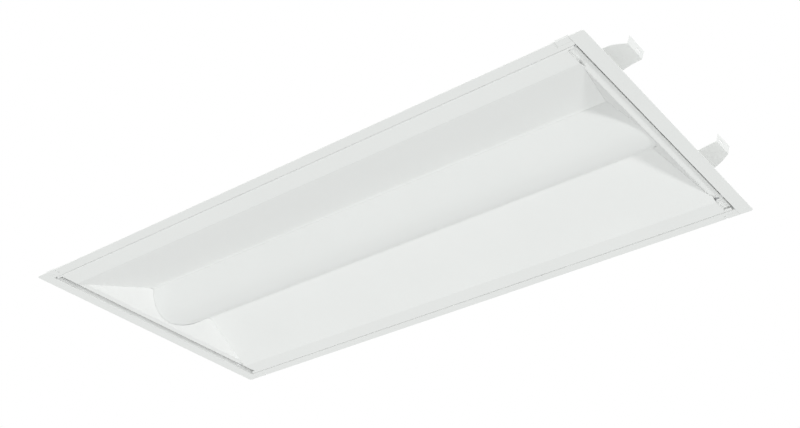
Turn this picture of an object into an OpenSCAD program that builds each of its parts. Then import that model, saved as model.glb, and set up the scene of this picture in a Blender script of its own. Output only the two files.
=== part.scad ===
// Recessed troffer light with a hinged door of two reflector wings and a curved lens.
// Frame: X along the light, Y across it, Z up into the ceiling. The origin is the middle of
// the trim's bottom face, which lies in the plane of the ceiling's underside.

/* [Trim] */
// Overall length of the trim
trim_l = 1197; // [1100:1:1400]
// Overall width of the trim
trim_w = 597; // [585:1:640]
// Visible width of the end flanges
end_flange_w = 24.5; // [22:0.5:30]
// Visible width of the long flanges
side_flange_w = 21; // [19:0.5:26]
// Sheet thickness of the trim
trim_t = 1.2; // [1:0.1:1.5]
// Height of the trim's inner upstand
upstand_h = 14; // [13:0.5:18]
// Radius of the trim's outer corners
trim_corner_r = 4; // [1:0.5:8]
// Gap in the joints between the trim profiles
trim_joint = 0.3; // [0.1:0.1:0.5]
// Radius of the rivets that hold the housing to the trim
rivet_r = 1.6; // [1:0.1:2]
// Thickness of a rivet's head
rivet_head_t = 0.9; // [0.6:0.1:1.2]
// Pitch of the rivets along the long sides
rivet_pitch = 120; // [80:10:160]

/* [Corner brackets] */
// Length of the notch in the long flange that takes a bracket's foot
notch_l = 25.8; // [20:0.2:30]
// Width of that notch
notch_w = 12; // [8:0.5:14]
// Open slit that the foot leaves at the notch's inner end
slit_w = 2.8; // [1:0.2:4]
// Height of the turned-up edge of the foot
foot_lip_h = 3.5; // [2:0.5:5]
// Sheet thickness of the brackets
bracket_t = 1.2; // [1:0.1:1.5]
// Length of a bracket's leg along the long flange
leg_side_l = 44; // [35:1:60]
// Length of a bracket's leg along the end flange
leg_end_l = 48; // [35:1:60]
// Width of a bracket's legs
leg_w = 8; // [6:0.5:10]

/* [Housing] */
// Height of the housing above the ceiling's underside
housing_h = 60; // [58:1:75]
// Width of the housing's flat top
pan_top_w = 444; // [420:1:470]
// Sheet thickness of the housing pan
pan_t = 0.8; // [0.6:0.1:1.2]
// Height at which the pan's skirt starts
skirt_z = 4; // [3:0.5:6]
// Sheet thickness of the end caps
cap_t = 1; // [0.8:0.1:1.4]
// Distance of an end cap's wall behind the trim's upstand
cap_inset = 10; // [8:0.5:14]
// Height at which an end cap's skirt starts
cap_skirt_z = 6; // [5.5:0.5:7]
// Depth of the lip that ties an end cap to the pan's top
cap_lip = 12; // [8:1:20]
// Spacing of the hanger holes along the light
hanger_pitch_x = 960; // [800:10:1000]
// Spacing of the hanger holes across the light
hanger_pitch_y = 340; // [300:10:380]
// Diameter of the hanger holes
hanger_d = 6.5; // [5:0.5:9]

/* [Light source] */
// Distance from the end of the tray that carries the boards to an end cap's lip
tray_gap = 12; // [2:1:20]
// Width of that tray
tray_w = 100; // [98:1:104]
// Thickness of that tray
tray_t = 1.5; // [1:0.1:2]
// Gap between neighbouring boards
board_gap = 2; // [1:0.5:10]
// Width of a board
board_w = 60; // [50:1:60]
// Thickness of a board
board_t = 1.6; // [1:0.1:2]
// Number of light-emitting packages in a row
led_count = 12; // [4:1:16]
// Distance between the two rows of packages
led_row_gap = 28; // [16:1:40]
// Length of a package
led_l = 3.5; // [2:0.1:5]
// Width of a package
led_w = 2.8; // [2:0.1:4]
// Height of a package
led_h = 0.8; // [0.5:0.1:1.2]

/* [Control gear] */
// Length of the driver cover
cover_l = 420; // [400:1:480]
// Width of the driver cover
cover_w = 110; // [106:1:130]
// Height of the driver cover
cover_h = 32; // [30:1:40]
// Sheet thickness of the driver cover
cover_t = 0.8; // [0.6:0.1:1.2]
// Width of the cover's feet
cover_foot_w = 14; // [12:0.5:18]
// Length of the driver between its end pieces
driver_l = 280; // [200:1:290]
// Length of a driver's end piece
driver_end_l = 16; // [10:1:20]
// Width of the driver
driver_w = 30; // [20:1:34]
// Height of the driver
driver_h = 21; // [15:1:24]
// Radius of the gland's bore for the supply cord
gland_bore_r = 5; // [3:0.25:6]
// Radius of the gland's thread
gland_r = 8; // [7.5:0.1:8.5]

/* [Door] */
// Gap between the door and the trim on the hinge side
gap_near = 2; // [1.5:0.1:3]
// Gap between the door and the trim on the opening side
gap_far = 0.5; // [0.5:0.1:1.5]
// Gap between the door and the trim at the ends
gap_end = 5.1; // [4.8:0.1:6.5]
// Sheet thickness of the reflectors
sheet_t = 0.8; // [0.6:0.1:1]
// Distance from the trim's inner edge to the fold of a reflector
rim_band = 41.5; // [36:0.5:48]
// Radius of that fold
fold_r = 5; // [3:0.5:10]
// Distance from a rim's end to the trim's inner edge
rim_end = 17; // [16:0.5:18]
// Radius of the rim's corners
rim_corner_r = 4; // [3:0.5:12]
// Outer radius of the rolled hem along a reflector's rim
hem_r = 2.75; // [2.6:0.05:2.8]
// Height of the lens's seat above the ceiling's underside
crest_z = 44; // [43:0.5:45]
// Width of the lens's seat
ledge_w = 6; // [5.5:0.5:8]
// Height of the end rails above the ceiling's underside
rail_z = 6; // [6:0.1:7]
// Width of the end rails
rail_w = 15.3; // [14.5:0.1:16.5]
// Sheet thickness of the end rails
rail_t = 1; // [0.8:0.1:1.2]
// Radius of the rail's rounded outer edge
rail_hem_r = 1.5; // [1.2:0.1:1.8]
// Height of the rail's inner lip
lip_h = 2.8; // [2:0.2:3]
// Lean of the end plates: millimetres inward for each millimetre up
plate_lean = 0.9; // [0.7:0.05:1]
// Radius of the two hinge pins
hinge_pin_r = 1.1; // [0.9:0.05:1.2]
// Length of a hinge pin inside the hem
hinge_pin_in = 42; // [30:1:60]

/* [Lens] */
// Width of the lens where it meets its seats
lens_w = 156; // [150:1:160]
// Depth of the lens's arc below its seats
lens_drop = 34; // [32:0.5:34]
// Thickness of the lens
lens_t = 2; // [1.5:0.1:2.5]
// Distance from the lens's end to the trim's inner edge
lens_end_inset = 23; // [23:0.5:26]
// Thickness of the plates that close the lens's ends
lens_end_t = 1.2; // [0.8:0.1:1.4]
// Width of the lens's side flanges beyond its seats' inner edges
lens_flange_w = 7; // [5:0.5:8]
// Thickness of the foam strips under the flanges
gasket_t = 1; // [0.6:0.1:1.5]
// Number of clips on each side of the lens
clip_count = 5; // [2:1:8]
// Pitch of the clips
clip_pitch = 230; // [100:5:250]
// Width of a clip
clip_w = 22; // [12:1:30]
// Sheet thickness of a clip
clip_t = 0.6; // [0.4:0.1:0.8]

/* [Fixing arms] */
// Distance from the trim's long edge to an arm's outer edge
arm_inset = 100.5; // [95:0.5:120]
// Width of an arm at its root
arm_root_w = 64; // [54:1:70]
// Width of an arm at its end
arm_end_w = 46; // [36:1:50]
// Reach of an arm from its pivot to its end
arm_reach = 41.5; // [36:0.5:50]
// Radius of an arm's bend
arm_r = 170; // [150:5:250]
// Sheet thickness of an arm
arm_t = 1.2; // [1:0.1:1.6]
// Height of the arm's pivot
pivot_z = 44; // [40:0.5:46]
// Outer radius of an arm's rolled eye
eye_r = 3.2; // [2.8:0.1:3.6]
// Radius of an arm's pin
arm_pin_r = 1.5; // [1.2:0.1:1.8]
// Height of an arm's upturned end
tip_h = 14; // [10:0.5:18]
// Outward lean of the upturned end from upright, in degrees
tip_lean = 19; // [10:1:25]

/* [Latches] */
// Distance of a latch's middle from the trim's inner edge
latch_inset = 43.5; // [42:0.5:46]
// Width of a latch's bolt
bolt_w = 12; // [8:1:14]
// Length of a latch's bolt
bolt_l = 20; // [18:0.5:21]
// Thickness of a latch's bolt
bolt_t = 1.2; // [1:0.1:1.2]
// Travel of a latch
latch_travel = 5; // [3:0.5:5]

/* [Hidden] */

$fn = 48;
// Reach of a cut past the faces it goes through
cut = 1;
// Clearances: round a rivet or screw, round a pin, between welded, facing and sliding parts
rivet_gap = 0.05;
pin_gap = 0.05;
weld_gap = 0.05;
face_gap = 0.2;
slide_gap = 0.3;

half_l = trim_l / 2;
half_w = trim_w / 2;
well_x = half_l - end_flange_w;
well_y = half_w - side_flange_w;
rivet_z = (skirt_z + upstand_h) / 2;

// Housing
pan_y = well_y + trim_t + pan_t;
pan_top_y = pan_top_w / 2;
shoulder_z = upstand_h + cap_t;
cap_x = well_x - cap_inset;
pan_x = cap_x - face_gap;
pan_under = housing_h - pan_t;

// Light source, with one node for each board
board_count = 4;
tray_l = 2 * (cap_x - cap_lip - tray_gap);
board_pitch = tray_l / board_count;
board_l = board_pitch - board_gap;
tray_z = pan_under - tray_t;
board_z = tray_z - board_t;

// Door
edge_near = well_y - gap_near;
edge_far = well_y - gap_far;
door_x = well_x - gap_end;
fold_y = well_y - rim_band;
lens_gap = 1;
lens_y = lens_w / 2;
seat_in_y = lens_y + lens_gap;
seat_y = seat_in_y + ledge_w;
wing_slope = crest_z / (fold_y - seat_y);
rim_x = well_x - rim_end;
rail_in_x = door_x - rail_w;
lens_r = (lens_y * lens_y + lens_drop * lens_drop) / (2 * lens_drop);
lens_axis_z = crest_z - lens_drop + lens_r;
lens_x = well_x - lens_end_inset;
lens_flange_z = crest_z + sheet_t + gasket_t;
lens_flange_y = seat_in_y + lens_flange_w;
lens_top_z = lens_flange_z + lens_t;
// Band beside the lens's seat that runs on over the end plates
seat_band = 1.5;
plate_top_z = crest_z - seat_band * wing_slope - face_gap;
hinge_y = edge_near - hem_r;
hinge_z = hem_r;
hinge_hole_r = hinge_pin_r + pin_gap;

// Fixing arms
arm_out_y = half_w - arm_inset;
arm_y = arm_out_y - arm_root_w;
eye_gap = 0.6;
pivot_x = cap_x + cap_t + bracket_t + eye_gap + eye_r;
arm_axis_x = pivot_x + sqrt(pow(arm_r + eye_r, 2) - pow(arm_r + eye_r - eye_r * 2.25, 2));
arm_axis_z = pivot_z - sqrt(pow(arm_r + eye_r, 2) - pow(arm_axis_x - pivot_x, 2));
arm_end_x = pivot_x + arm_reach;
arm_end_z = arm_axis_z + sqrt(pow(arm_r, 2) - pow(arm_axis_x - arm_end_x, 2));

// Latches
latch_y = well_y - latch_inset;
bolt_z = rail_z + rail_t + 0.15;
bolt_out_x = well_x - slide_gap - 0.1;

// Unit vector of v, and v turned a quarter to the left
function unit(v) = v / norm(v);
function left_of(v) = [-v[1], v[0]];

// Point i of a path moved t to the left, mitred where the path bends
function side_point(path, i, t) =
    let (
        last = len(path) - 1,
        a = left_of(unit(path[max(i, 1)] - path[max(i, 1) - 1])),
        b = left_of(unit(path[min(i, last - 1) + 1] - path[min(i, last - 1)]))
    )
    path[i] + (a + b) * t / (1 + a * b);

// Section of a folded sheet: a path and its copy t to the left
module sheet(path, t) {
    back = [for (i = [len(path) - 1 : -1 : 0]) side_point(path, i, t)];
    polygon(concat(path, back));
}

// Section in Y and Z drawn out along X
module along_x(l) {
    rotate([90, 0, 90])
        linear_extrude(l, center = true)
            children();
}

// Section in X and Z drawn out along Y
module along_y(l) {
    rotate([90, 0, 0])
        linear_extrude(l, center = true)
            children();
}

module rod_x(r, x0, x1) {
    translate([x0, 0, 0])
        rotate([0, 90, 0])
            cylinder(r = r, h = x1 - x0);
}

module rod_y(r, y0, y1) {
    translate([0, y0, 0])
        rotate([-90, 0, 0])
            cylinder(r = r, h = y1 - y0);
}

// A box given by its two corners
module box(a, b) {
    translate(a)
        cube(b - a);
}

// The two ends and the two long sides as mirror images
module at_side(sx, sy) {
    mirror([sx < 0 ? 1 : 0, 0, 0])
        mirror([0, sy < 0 ? 1 : 0, 0])
            children();
}

module both_ends() {
    for (sx = [1, -1])
        at_side(sx, 1)
            children();
}

module four_corners() {
    for (sx = [1, -1])
        for (sy = [1, -1])
            at_side(sx, sy)
                children();
}

// Trim

side_rivet_count = 2 * floor((well_x - cap_inset) / rivet_pitch) + 1;
end_rivet_y = 200;

// Places a rivet or its hole at each point of the two long sides
module at_side_rivets() {
    for (i = [0 : side_rivet_count - 1])
        for (sy = [1, -1])
            at_side(1, sy)
                translate([(i - (side_rivet_count - 1) / 2) * rivet_pitch, 0, rivet_z])
                    children();
}

module at_end_rivets() {
    for (y = [-end_rivet_y, 0, end_rivet_y])
        translate([0, y, rivet_z + 1.5])
            children();
}

module trim_outline() {
    difference() {
        square([trim_l, trim_w], center = true);
        for (sx = [1, -1])
            for (sy = [1, -1])
                scale([sx, sy])
                    translate([half_l - trim_corner_r, half_w - trim_corner_r])
                        difference() {
                            square(trim_corner_r + cut);
                            circle(trim_corner_r);
                        }
    }
}

module trim_side(sy) {
    color("whitesmoke")
        at_side(1, sy)
            difference() {
                along_x(2 * (well_x - trim_joint))
                    sheet([[well_y, upstand_h], [well_y, 0], [half_w, 0]], trim_t);
                both_ends()
                    box([well_x - notch_l, half_w - notch_w, -cut], [half_l, half_w + cut, trim_t + cut]);
                at_side_rivets()
                    rod_y(rivet_r + rivet_gap, well_y - cut, well_y + trim_t + cut);
            }
}

module trim_end(sx) {
    color("whitesmoke")
        at_side(sx, 1)
            difference() {
                union() {
                    intersection() {
                        linear_extrude(trim_t)
                            trim_outline();
                        box([well_x, -half_w, 0], [half_l, half_w, trim_t]);
                    }
                    box([well_x, -well_y - trim_t, 0], [well_x + trim_t, well_y + trim_t, upstand_h]);
                }
                translate([0, -hinge_y, hinge_z])
                    rod_x(hinge_hole_r, well_x - cut, well_x + trim_t + cut);
                latch_window();
                at_end_rivets()
                    rod_x(rivet_r + rivet_gap, well_x - cut, well_x + trim_t + cut);
            }
}

// Window that a latch's bolt enters, through the upstand and the end cap's skirt
module latch_window() {
    half = bolt_w / 2 + 1;
    box([well_x - cut, latch_y - half, bolt_z - 0.5],
        [well_x + trim_t + cap_t + cut, latch_y + half, bolt_z + bolt_t + 0.6]);
}

module trim_rivets() {
    color("silver") {
        at_side_rivets() {
            rod_y(rivet_r, well_y, pan_y + 0.1);
            rod_y(rivet_r * 1.8, pan_y, pan_y + rivet_head_t);
        }
        both_ends()
            at_end_rivets() {
                rod_x(rivet_r, well_x, well_x + trim_t + cap_t + 0.1);
                rod_x(rivet_r * 1.8, well_x + trim_t + cap_t, well_x + trim_t + cap_t + rivet_head_t);
            }
    }
}

// Corner bracket: a foot in the flange's notch with its turned-up edge, the pad that carries the
// foot and closes the slit from above, and two legs on the flanges
module corner_bracket(sx, sy) {
    foot_x0 = well_x - notch_l + slit_w;
    foot_x1 = well_x - trim_joint - face_gap;
    foot_y0 = half_w - notch_w + face_gap;
    leg_y0 = well_y + trim_t + pan_t + 0.5;
    leg_y1 = max(foot_y0 + 1.3, leg_y0 + leg_w);
    leg_x0 = well_x + trim_t + cap_t + 1.3;
    pad_over = 4;
    top = trim_t + bracket_t;
    color("gainsboro")
        at_side(sx, sy) {
            box([foot_x0, foot_y0, 0], [foot_x1, half_w, trim_t]);
            box([foot_x0, half_w - bracket_t, 0], [foot_x1, half_w, foot_lip_h]);
            box([well_x - notch_l - pad_over, leg_y0, trim_t], [foot_x1, half_w - bracket_t / 2, top]);
            box([well_x - leg_side_l, leg_y0, trim_t], [leg_x0 + leg_w + 4, leg_y1, top]);
            box([leg_x0, leg_y1 - leg_end_l, trim_t], [leg_x0 + leg_w + 4, leg_y1, top]);
        }
}

// Housing

module pan_section() {
    sheet([
        [pan_y, skirt_z], [pan_y, shoulder_z], [pan_top_y, housing_h],
        [-pan_top_y, housing_h], [-pan_y, shoulder_z], [-pan_y, skirt_z]
    ], pan_t);
}

module pan_silhouette() {
    polygon([
        [pan_y, 0], [pan_y, shoulder_z], [pan_top_y, housing_h],
        [-pan_top_y, housing_h], [-pan_y, shoulder_z], [-pan_y, 0]
    ]);
}

module hanger_points() {
    for (x = [-hanger_pitch_x / 2, hanger_pitch_x / 2])
        for (y = [-hanger_pitch_y / 2, hanger_pitch_y / 2])
            translate([x, y, 0])
                children();
}

cover_screw_inset = 40;
cover_screw_x = cover_l / 2 - cover_screw_inset;
cover_screw_y = cover_w / 2 + cover_foot_w / 2;
screw_r = 1.8;

module cover_screw_points() {
    for (x = [-cover_screw_x, cover_screw_x])
        for (y = [-cover_screw_y, cover_screw_y])
            translate([x, y, 0])
                children();
}

grommet_x = -100;
grommet_y = board_w / 2 + 8;
grommet_r = 5;
grommet_flange_r = grommet_r + 1.2;

module housing_pan() {
    color("white")
        difference() {
            along_x(2 * pan_x)
                pan_section();
            at_side_rivets()
                rod_y(rivet_r + rivet_gap, well_y, pan_y + cut);
            translate([0, 0, pan_under - cut]) {
                hanger_points()
                    cylinder(d = hanger_d, h = pan_t + 2 * cut);
                cover_screw_points()
                    cylinder(r = screw_r + rivet_gap, h = pan_t + 2 * cut);
                translate([grommet_x, grommet_y, 0])
                    cylinder(r = grommet_r + rivet_gap, h = pan_t + 2 * cut);
            }
            board_screw_points()
                cylinder(r = board_screw_r + rivet_gap, h = housing_h);
        }
}

module end_cap(sx) {
    skirt_x = well_x + trim_t;
    cap_top_z = pan_under - face_gap;
    color("white")
        at_side(sx, 1)
            difference() {
                intersection() {
                    along_y(2 * pan_y)
                        sheet([
                            [cap_x - cap_lip, cap_top_z - cap_t], [cap_x, cap_top_z - cap_t],
                            [cap_x, upstand_h], [skirt_x, upstand_h], [skirt_x, cap_skirt_z]
                        ], cap_t);
                    translate([well_x, 0, 0])
                        along_x(4 * (cap_inset + cap_lip))
                            pan_silhouette();
                    cap_lip_limit();
                }
                latch_window();
                at_end_rivets()
                    rod_x(rivet_r + rivet_gap, skirt_x - cut, skirt_x + cap_t + cut);
                bracket_rivet_points()
                    rod_x(rivet_r + rivet_gap, cap_x - cut, cap_x + cap_t + cut);
            }
}

// The lip that goes under the pan's top is narrower than the wall
module cap_lip_limit() {
    lip_inset = 20;
    lip_y = pan_top_y - lip_inset;
    union() {
        box([cap_x, -half_w, 0], [half_l, half_w, housing_h + cut]);
        box([cap_x - cap_lip - cut, -lip_y, 0], [cap_x + cut, lip_y, housing_h + cut]);
    }
}

// Light source

board_screw_r = 1.5;
board_screw_inset = 20;
board_screw_x = board_l / 2 - board_screw_inset;
connector_l = 10;

function board_x(i) = (i - (board_count - 1) / 2) * board_pitch;

module board_screw_points() {
    for (i = [0 : board_count - 1])
        for (x = [-board_screw_x, board_screw_x])
            translate([board_x(i) + x, 0, 0])
                children();
}

module led_tray() {
    color("silver")
        difference() {
            box([-tray_l / 2, -tray_w / 2, tray_z], [tray_l / 2, tray_w / 2, pan_under]);
            board_screw_points()
                cylinder(r = board_screw_r + rivet_gap, h = housing_h);
            translate([grommet_x, grommet_y, 0])
                cylinder(r = grommet_flange_r + rivet_gap, h = housing_h);
        }
}

module led_board(i) {
    color("whitesmoke")
        difference() {
            translate([board_x(i), 0, 0])
                box([-board_l / 2, -board_w / 2, board_z], [board_l / 2, board_w / 2, tray_z]);
            board_screw_points()
                cylinder(r = board_screw_r + rivet_gap, h = housing_h);
        }
}

module led_packages() {
    pitch = board_l / led_count;
    color("khaki")
        for (i = [0 : board_count - 1])
            for (k = [0 : led_count - 1])
                for (sy = [1, -1])
                    translate([
                        board_x(i) + (k - (led_count - 1) / 2) * pitch,
                        sy * led_row_gap / 2,
                        board_z - led_h / 2
                    ])
                        cube([led_l, led_w, led_h], center = true);
}

module board_screws() {
    head_r = 3;
    head_h = 1.6;
    color("silver")
        board_screw_points() {
            translate([0, 0, board_z - head_h])
                cylinder(r = head_r, h = head_h);
            translate([0, 0, board_z - head_h])
                cylinder(r = board_screw_r, h = housing_h - board_z + head_h);
        }
}

// Two connectors at the ends of each board, clear of the screws
module board_connectors() {
    connector_w = 6;
    connector_h = 4;
    color("white")
        for (i = [0 : board_count - 1])
            for (sx = [1, -1])
                translate([board_x(i) + sx * (board_l / 2 - connector_l), 0, board_z - connector_h / 2])
                    cube([connector_l, connector_w, connector_h], center = true);
}

// Control gear

driver_y = -cover_w / 4;
block_x = driver_l / 2 - 10;
block_y = 14;
block_l = 36;
block_w = 18;
block_h = 18;
stud_x = 100;
stud_y = 28;
gland_y = 20;
gland_z = housing_h + cover_h / 2 + 1;

module driver() {
    color("gainsboro")
        translate([-driver_l / 2 - driver_end_l, driver_y - driver_w / 2, housing_h])
            cube([driver_l, driver_w, driver_h]);
}

module driver_ends() {
    wire_hole_r = 1.6;
    color("white")
        for (x = [-driver_l / 2 - 2 * driver_end_l, driver_l / 2 - driver_end_l])
            translate([x, driver_y - driver_w / 2, housing_h])
                difference() {
                    cube([driver_end_l, driver_w, driver_h]);
                    for (k = [1 : 4])
                        translate([-cut, k * driver_w / 5, driver_h / 3])
                            rotate([0, 90, 0])
                                cylinder(r = wire_hole_r, h = driver_end_l + 2 * cut);
                }
}

module driver_cover() {
    top = housing_h + cover_h;
    color("white")
        difference() {
            union() {
                box([-cover_l / 2, -cover_w / 2, housing_h], [cover_l / 2, cover_w / 2, top]);
                box([-cover_l / 2, -cover_w / 2 - cover_foot_w, housing_h],
                    [cover_l / 2, cover_w / 2 + cover_foot_w, housing_h + cover_t]);
            }
            box([-cover_l / 2 + cover_t, -cover_w / 2 + cover_t, housing_h - cut],
                [cover_l / 2 - cover_t, cover_w / 2 - cover_t, top - cover_t]);
            translate([0, 0, housing_h - cut])
                cover_screw_points()
                    cylinder(r = screw_r + rivet_gap, h = cover_t + 2 * cut);
            translate([0, gland_y, gland_z])
                rod_x(gland_r + pin_gap, cover_l / 2 - cover_t - cut, cover_l / 2 + cut);
        }
}

module cover_screws() {
    head_r = 3.4;
    head_h = 2.2;
    screw_l = 8;
    color("silver")
        translate([0, 0, housing_h + cover_t])
            cover_screw_points() {
                difference() {
                    cylinder(r = head_r, h = head_h);
                    translate([0, 0, head_h])
                        cube([4, 0.8, 1.6], center = true);
                    translate([0, 0, head_h])
                        cube([0.8, 4, 1.6], center = true);
                }
                translate([0, 0, -screw_l])
                    cylinder(r = screw_r, h = screw_l + 0.1);
            }
}

module block_poles() {
    for (k = [-1, 0, 1])
        translate([block_x + k * block_l / 3, block_y, housing_h])
            children();
}

module terminal_block() {
    color("white")
        difference() {
            box([block_x - block_l / 2, block_y - block_w / 2, housing_h],
                [block_x + block_l / 2, block_y + block_w / 2, housing_h + block_h]);
            block_poles()
                translate([0, 0, block_h / 2])
                    cylinder(r = 2.3, h = block_h);
            block_poles()
                translate([0, 0, block_h / 3])
                    rod_y(2, -block_w / 2 - cut, block_w / 2 + cut);
        }
}

module terminal_screws() {
    color("silver")
        block_poles()
            translate([0, 0, block_h / 2])
                difference() {
                    cylinder(r = 2.2, h = 5);
                    translate([0, 0, 5])
                        cube([5, 0.8, 1.6], center = true);
                }
}

module earth_stud() {
    color("goldenrod")
        translate([stud_x, stud_y, housing_h]) {
            cylinder(r = 2, h = 14);
            cylinder(r = 4.5, h = 1);
            translate([0, 0, 1])
                cylinder(r = 4, h = 3.2, $fn = 6);
        }
}

gland_hex_r = 12;
gland_hex_t = 5;
gland_thread_l = 9;

gland_thread_r = gland_r + 0.8;
gland_end_x = cover_l / 2 + gland_hex_t + gland_thread_l;

module gland_body() {
    wall_x = cover_l / 2;
    color("lightgray")
        translate([0, gland_y, gland_z])
            difference() {
                union() {
                    translate([wall_x, 0, 0])
                        rotate([0, 90, 0])
                            cylinder(r = gland_hex_r, h = gland_hex_t, $fn = 6);
                    rod_x(gland_r, wall_x - 8, wall_x + 0.5);
                    rod_x(gland_thread_r, wall_x + 0.5, gland_end_x);
                }
                rod_x(gland_bore_r + 0.5, wall_x - 8 - cut, gland_end_x + cut);
            }
}

module gland_nut() {
    x0 = cover_l / 2 + gland_hex_t + 1;
    x1 = x0 + gland_thread_l + 4;
    color("lightgray")
        translate([0, gland_y, gland_z])
            difference() {
                translate([x0, 0, 0])
                    rotate([0, 90, 0])
                        cylinder(r = gland_hex_r - 0.5, h = x1 - x0, $fn = 6);
                rod_x(gland_thread_r + pin_gap, x0 - cut, gland_end_x + face_gap);
                rod_x(gland_bore_r, x0, x1 + cut);
            }
}

module gland_locknut() {
    x1 = cover_l / 2 - cover_t;
    color("lightgray")
        translate([0, gland_y, gland_z])
            difference() {
                translate([x1 - 4, 0, 0])
                    rotate([0, 90, 0])
                        cylinder(r = gland_hex_r - 0.5, h = 4, $fn = 6);
                rod_x(gland_r + pin_gap, x1 - 4 - cut, x1 + cut);
            }
}

// Bush in the hole that takes the leads down to the boards
module grommet() {
    color("dimgray")
        translate([grommet_x, grommet_y, 0])
            difference() {
                union() {
                    translate([0, 0, tray_z])
                        cylinder(r = grommet_flange_r, h = pan_under - tray_z);
                    translate([0, 0, pan_under])
                        cylinder(r = grommet_r, h = pan_t);
                    translate([0, 0, housing_h])
                        cylinder(r = grommet_flange_r, h = 1.5);
                }
                cylinder(r = grommet_r - 1.5, h = housing_h + 10);
            }
}

// Fixing arms

ear_t = bracket_t;
ear_gap = 0.5;
bracket_z0 = pivot_z - 8;
bracket_z1 = pivot_z + 10;

module bracket_rivet_points() {
    for (sy = [1, -1])
        for (y = [arm_y + 12, arm_out_y - 12])
            translate([0, sy * y, pivot_z + 7])
                children();
}

// A base on the end cap's wall and two ears round the arm's eye
module arm_bracket() {
    base_x = cap_x + cap_t;
    difference() {
        union() {
            box([base_x, arm_y - ear_t - ear_gap, bracket_z0],
                [base_x + bracket_t, arm_out_y + ear_t + ear_gap, bracket_z1]);
            for (y = [arm_y - ear_t - ear_gap, arm_out_y + ear_gap]) {
                box([base_x + bracket_t - 0.2, y, pivot_z - 5], [pivot_x, y + ear_t, pivot_z + 5]);
                translate([pivot_x, 0, pivot_z])
                    rod_y(5, y, y + ear_t);
            }
        }
        translate([pivot_x, 0, pivot_z])
            rod_y(arm_pin_r + pin_gap, arm_y - 5, arm_out_y + 5);
        bracket_rivet_points()
            rod_x(rivet_r + rivet_gap, base_x - cut, base_x + bracket_t + cut);
    }
}

module arm_brackets() {
    color("gainsboro")
        four_corners()
            arm_bracket();
}

module bracket_rivets() {
    head_x = cap_x + cap_t + bracket_t;
    color("silver")
        both_ends()
            bracket_rivet_points() {
                rod_x(rivet_r, cap_x - 0.1, head_x + 0.1);
                rod_x(rivet_r * 1.6, head_x, head_x + 0.5);
                rod_x(rivet_r * 1.6, cap_x - rivet_head_t, cap_x);
            }
}

module arm_pins() {
    in_y = arm_y - ear_t - ear_gap;
    out_y = arm_out_y + ear_t + ear_gap;
    color("silver")
        four_corners()
            translate([pivot_x, 0, pivot_z]) {
                rod_y(arm_pin_r, in_y - 0.1, out_y + 0.1);
                rod_y(arm_pin_r + 1, in_y - 1, in_y);
                rod_y(arm_pin_r + 0.7, out_y, out_y + 0.7);
            }
}

// Plan of an arm: straight inner edge, outer edge tapering on a curve
module arm_plan() {
    steps = 12;
    taper = arm_root_w - arm_end_w;
    start_x = pivot_x + eye_r;
    outer = [
        for (i = [0 : steps])
            [start_x + (arm_end_x - start_x) * i / steps, arm_out_y - taper * (1 - cos(90 * i / steps))]
    ];
    polygon(concat([[pivot_x - eye_r, arm_y], [pivot_x - eye_r, arm_out_y]], outer, [[arm_end_x, arm_y]]));
}

// Bent leaf: the part of a ring from the eye's tangent point to the arm's end
module arm_leaf_section() {
    steps = 10;
    a0 = acos((arm_axis_x - pivot_x) / (arm_r + eye_r));
    a1 = acos((arm_axis_x - arm_end_x) / arm_r);
    function at(r, a) = [arm_axis_x - r * cos(a), arm_axis_z + r * sin(a)];
    polygon(concat(
        [for (i = [0 : steps]) at(arm_r, a0 + (a1 - a0) * i / steps)],
        [for (i = [steps : -1 : 0]) at(arm_r + arm_t, a0 + (a1 - a0) * i / steps)]
    ));
}

module fixing_arm(sx, sy) {
    color("gainsboro")
        at_side(sx, sy)
            difference() {
                union() {
                    intersection() {
                        translate([0, (arm_y + arm_out_y) / 2, 0])
                            along_y(arm_root_w)
                                arm_leaf_section();
                        linear_extrude(2 * housing_h)
                            arm_plan();
                    }
                    translate([pivot_x, 0, pivot_z])
                        rod_y(eye_r, arm_y, arm_out_y);
                    arm_tip();
                }
                translate([pivot_x, 0, pivot_z])
                    rod_y(arm_pin_r + pin_gap, arm_y - cut, arm_out_y + cut);
            }
}

// Upturned end of an arm, with a slot near its inner side
module arm_tip() {
    slot_l = 12;
    slot_r = 1.6;
    slot_y = arm_y + 14;
    translate([arm_end_x, 0, arm_end_z])
        rotate([0, tip_lean, 0])
            difference() {
                box([-arm_t, arm_y, 0], [0, arm_y + arm_end_w, tip_h]);
                box([-arm_t - cut, slot_y - slot_l / 2, tip_h / 2 - slot_r],
                    [cut, slot_y + slot_l / 2, tip_h / 2 + slot_r]);
                for (y = [slot_y - slot_l / 2, slot_y + slot_l / 2])
                    translate([0, y, tip_h / 2])
                        rod_x(slot_r, -arm_t - cut, cut);
            }
}

// Door

module hinge_pins() {
    color("silver")
        both_ends()
            translate([0, -hinge_y, hinge_z]) {
                rod_x(hinge_pin_r, door_x - hinge_pin_in, well_x + trim_t + 0.1);
                rod_x(hinge_pin_r + 0.4, well_x + trim_t, well_x + trim_t + 1.2);
            }
}

// Path of a reflector's visible face, from the hem's tangent point to the lens's seat
function reflector_path(edge_y) =
    let (
        turn = atan(wing_slope),
        run = fold_r * tan(turn / 2),
        steps = 4
    )
    concat(
        [[edge_y - hem_r, 0]],
        [
            for (i = [0 : steps])
                let (a = turn * i / steps)
                [fold_y + run - fold_r * sin(a), fold_r * (1 - cos(a))]
        ],
        [[seat_y, crest_z], [seat_in_y, crest_z]]
    );

// Everything outside the face of an end plate, above the rails
module beyond_end_plates(gap) {
    low = rail_z - sheet_t;
    high = housing_h;
    function face_x(z) = rail_in_x - plate_lean * (z - rail_z) - gap;
    along_y(trim_w)
        polygon([[face_x(low), low], [half_l, low], [half_l, high], [face_x(high), high]]);
}

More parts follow.
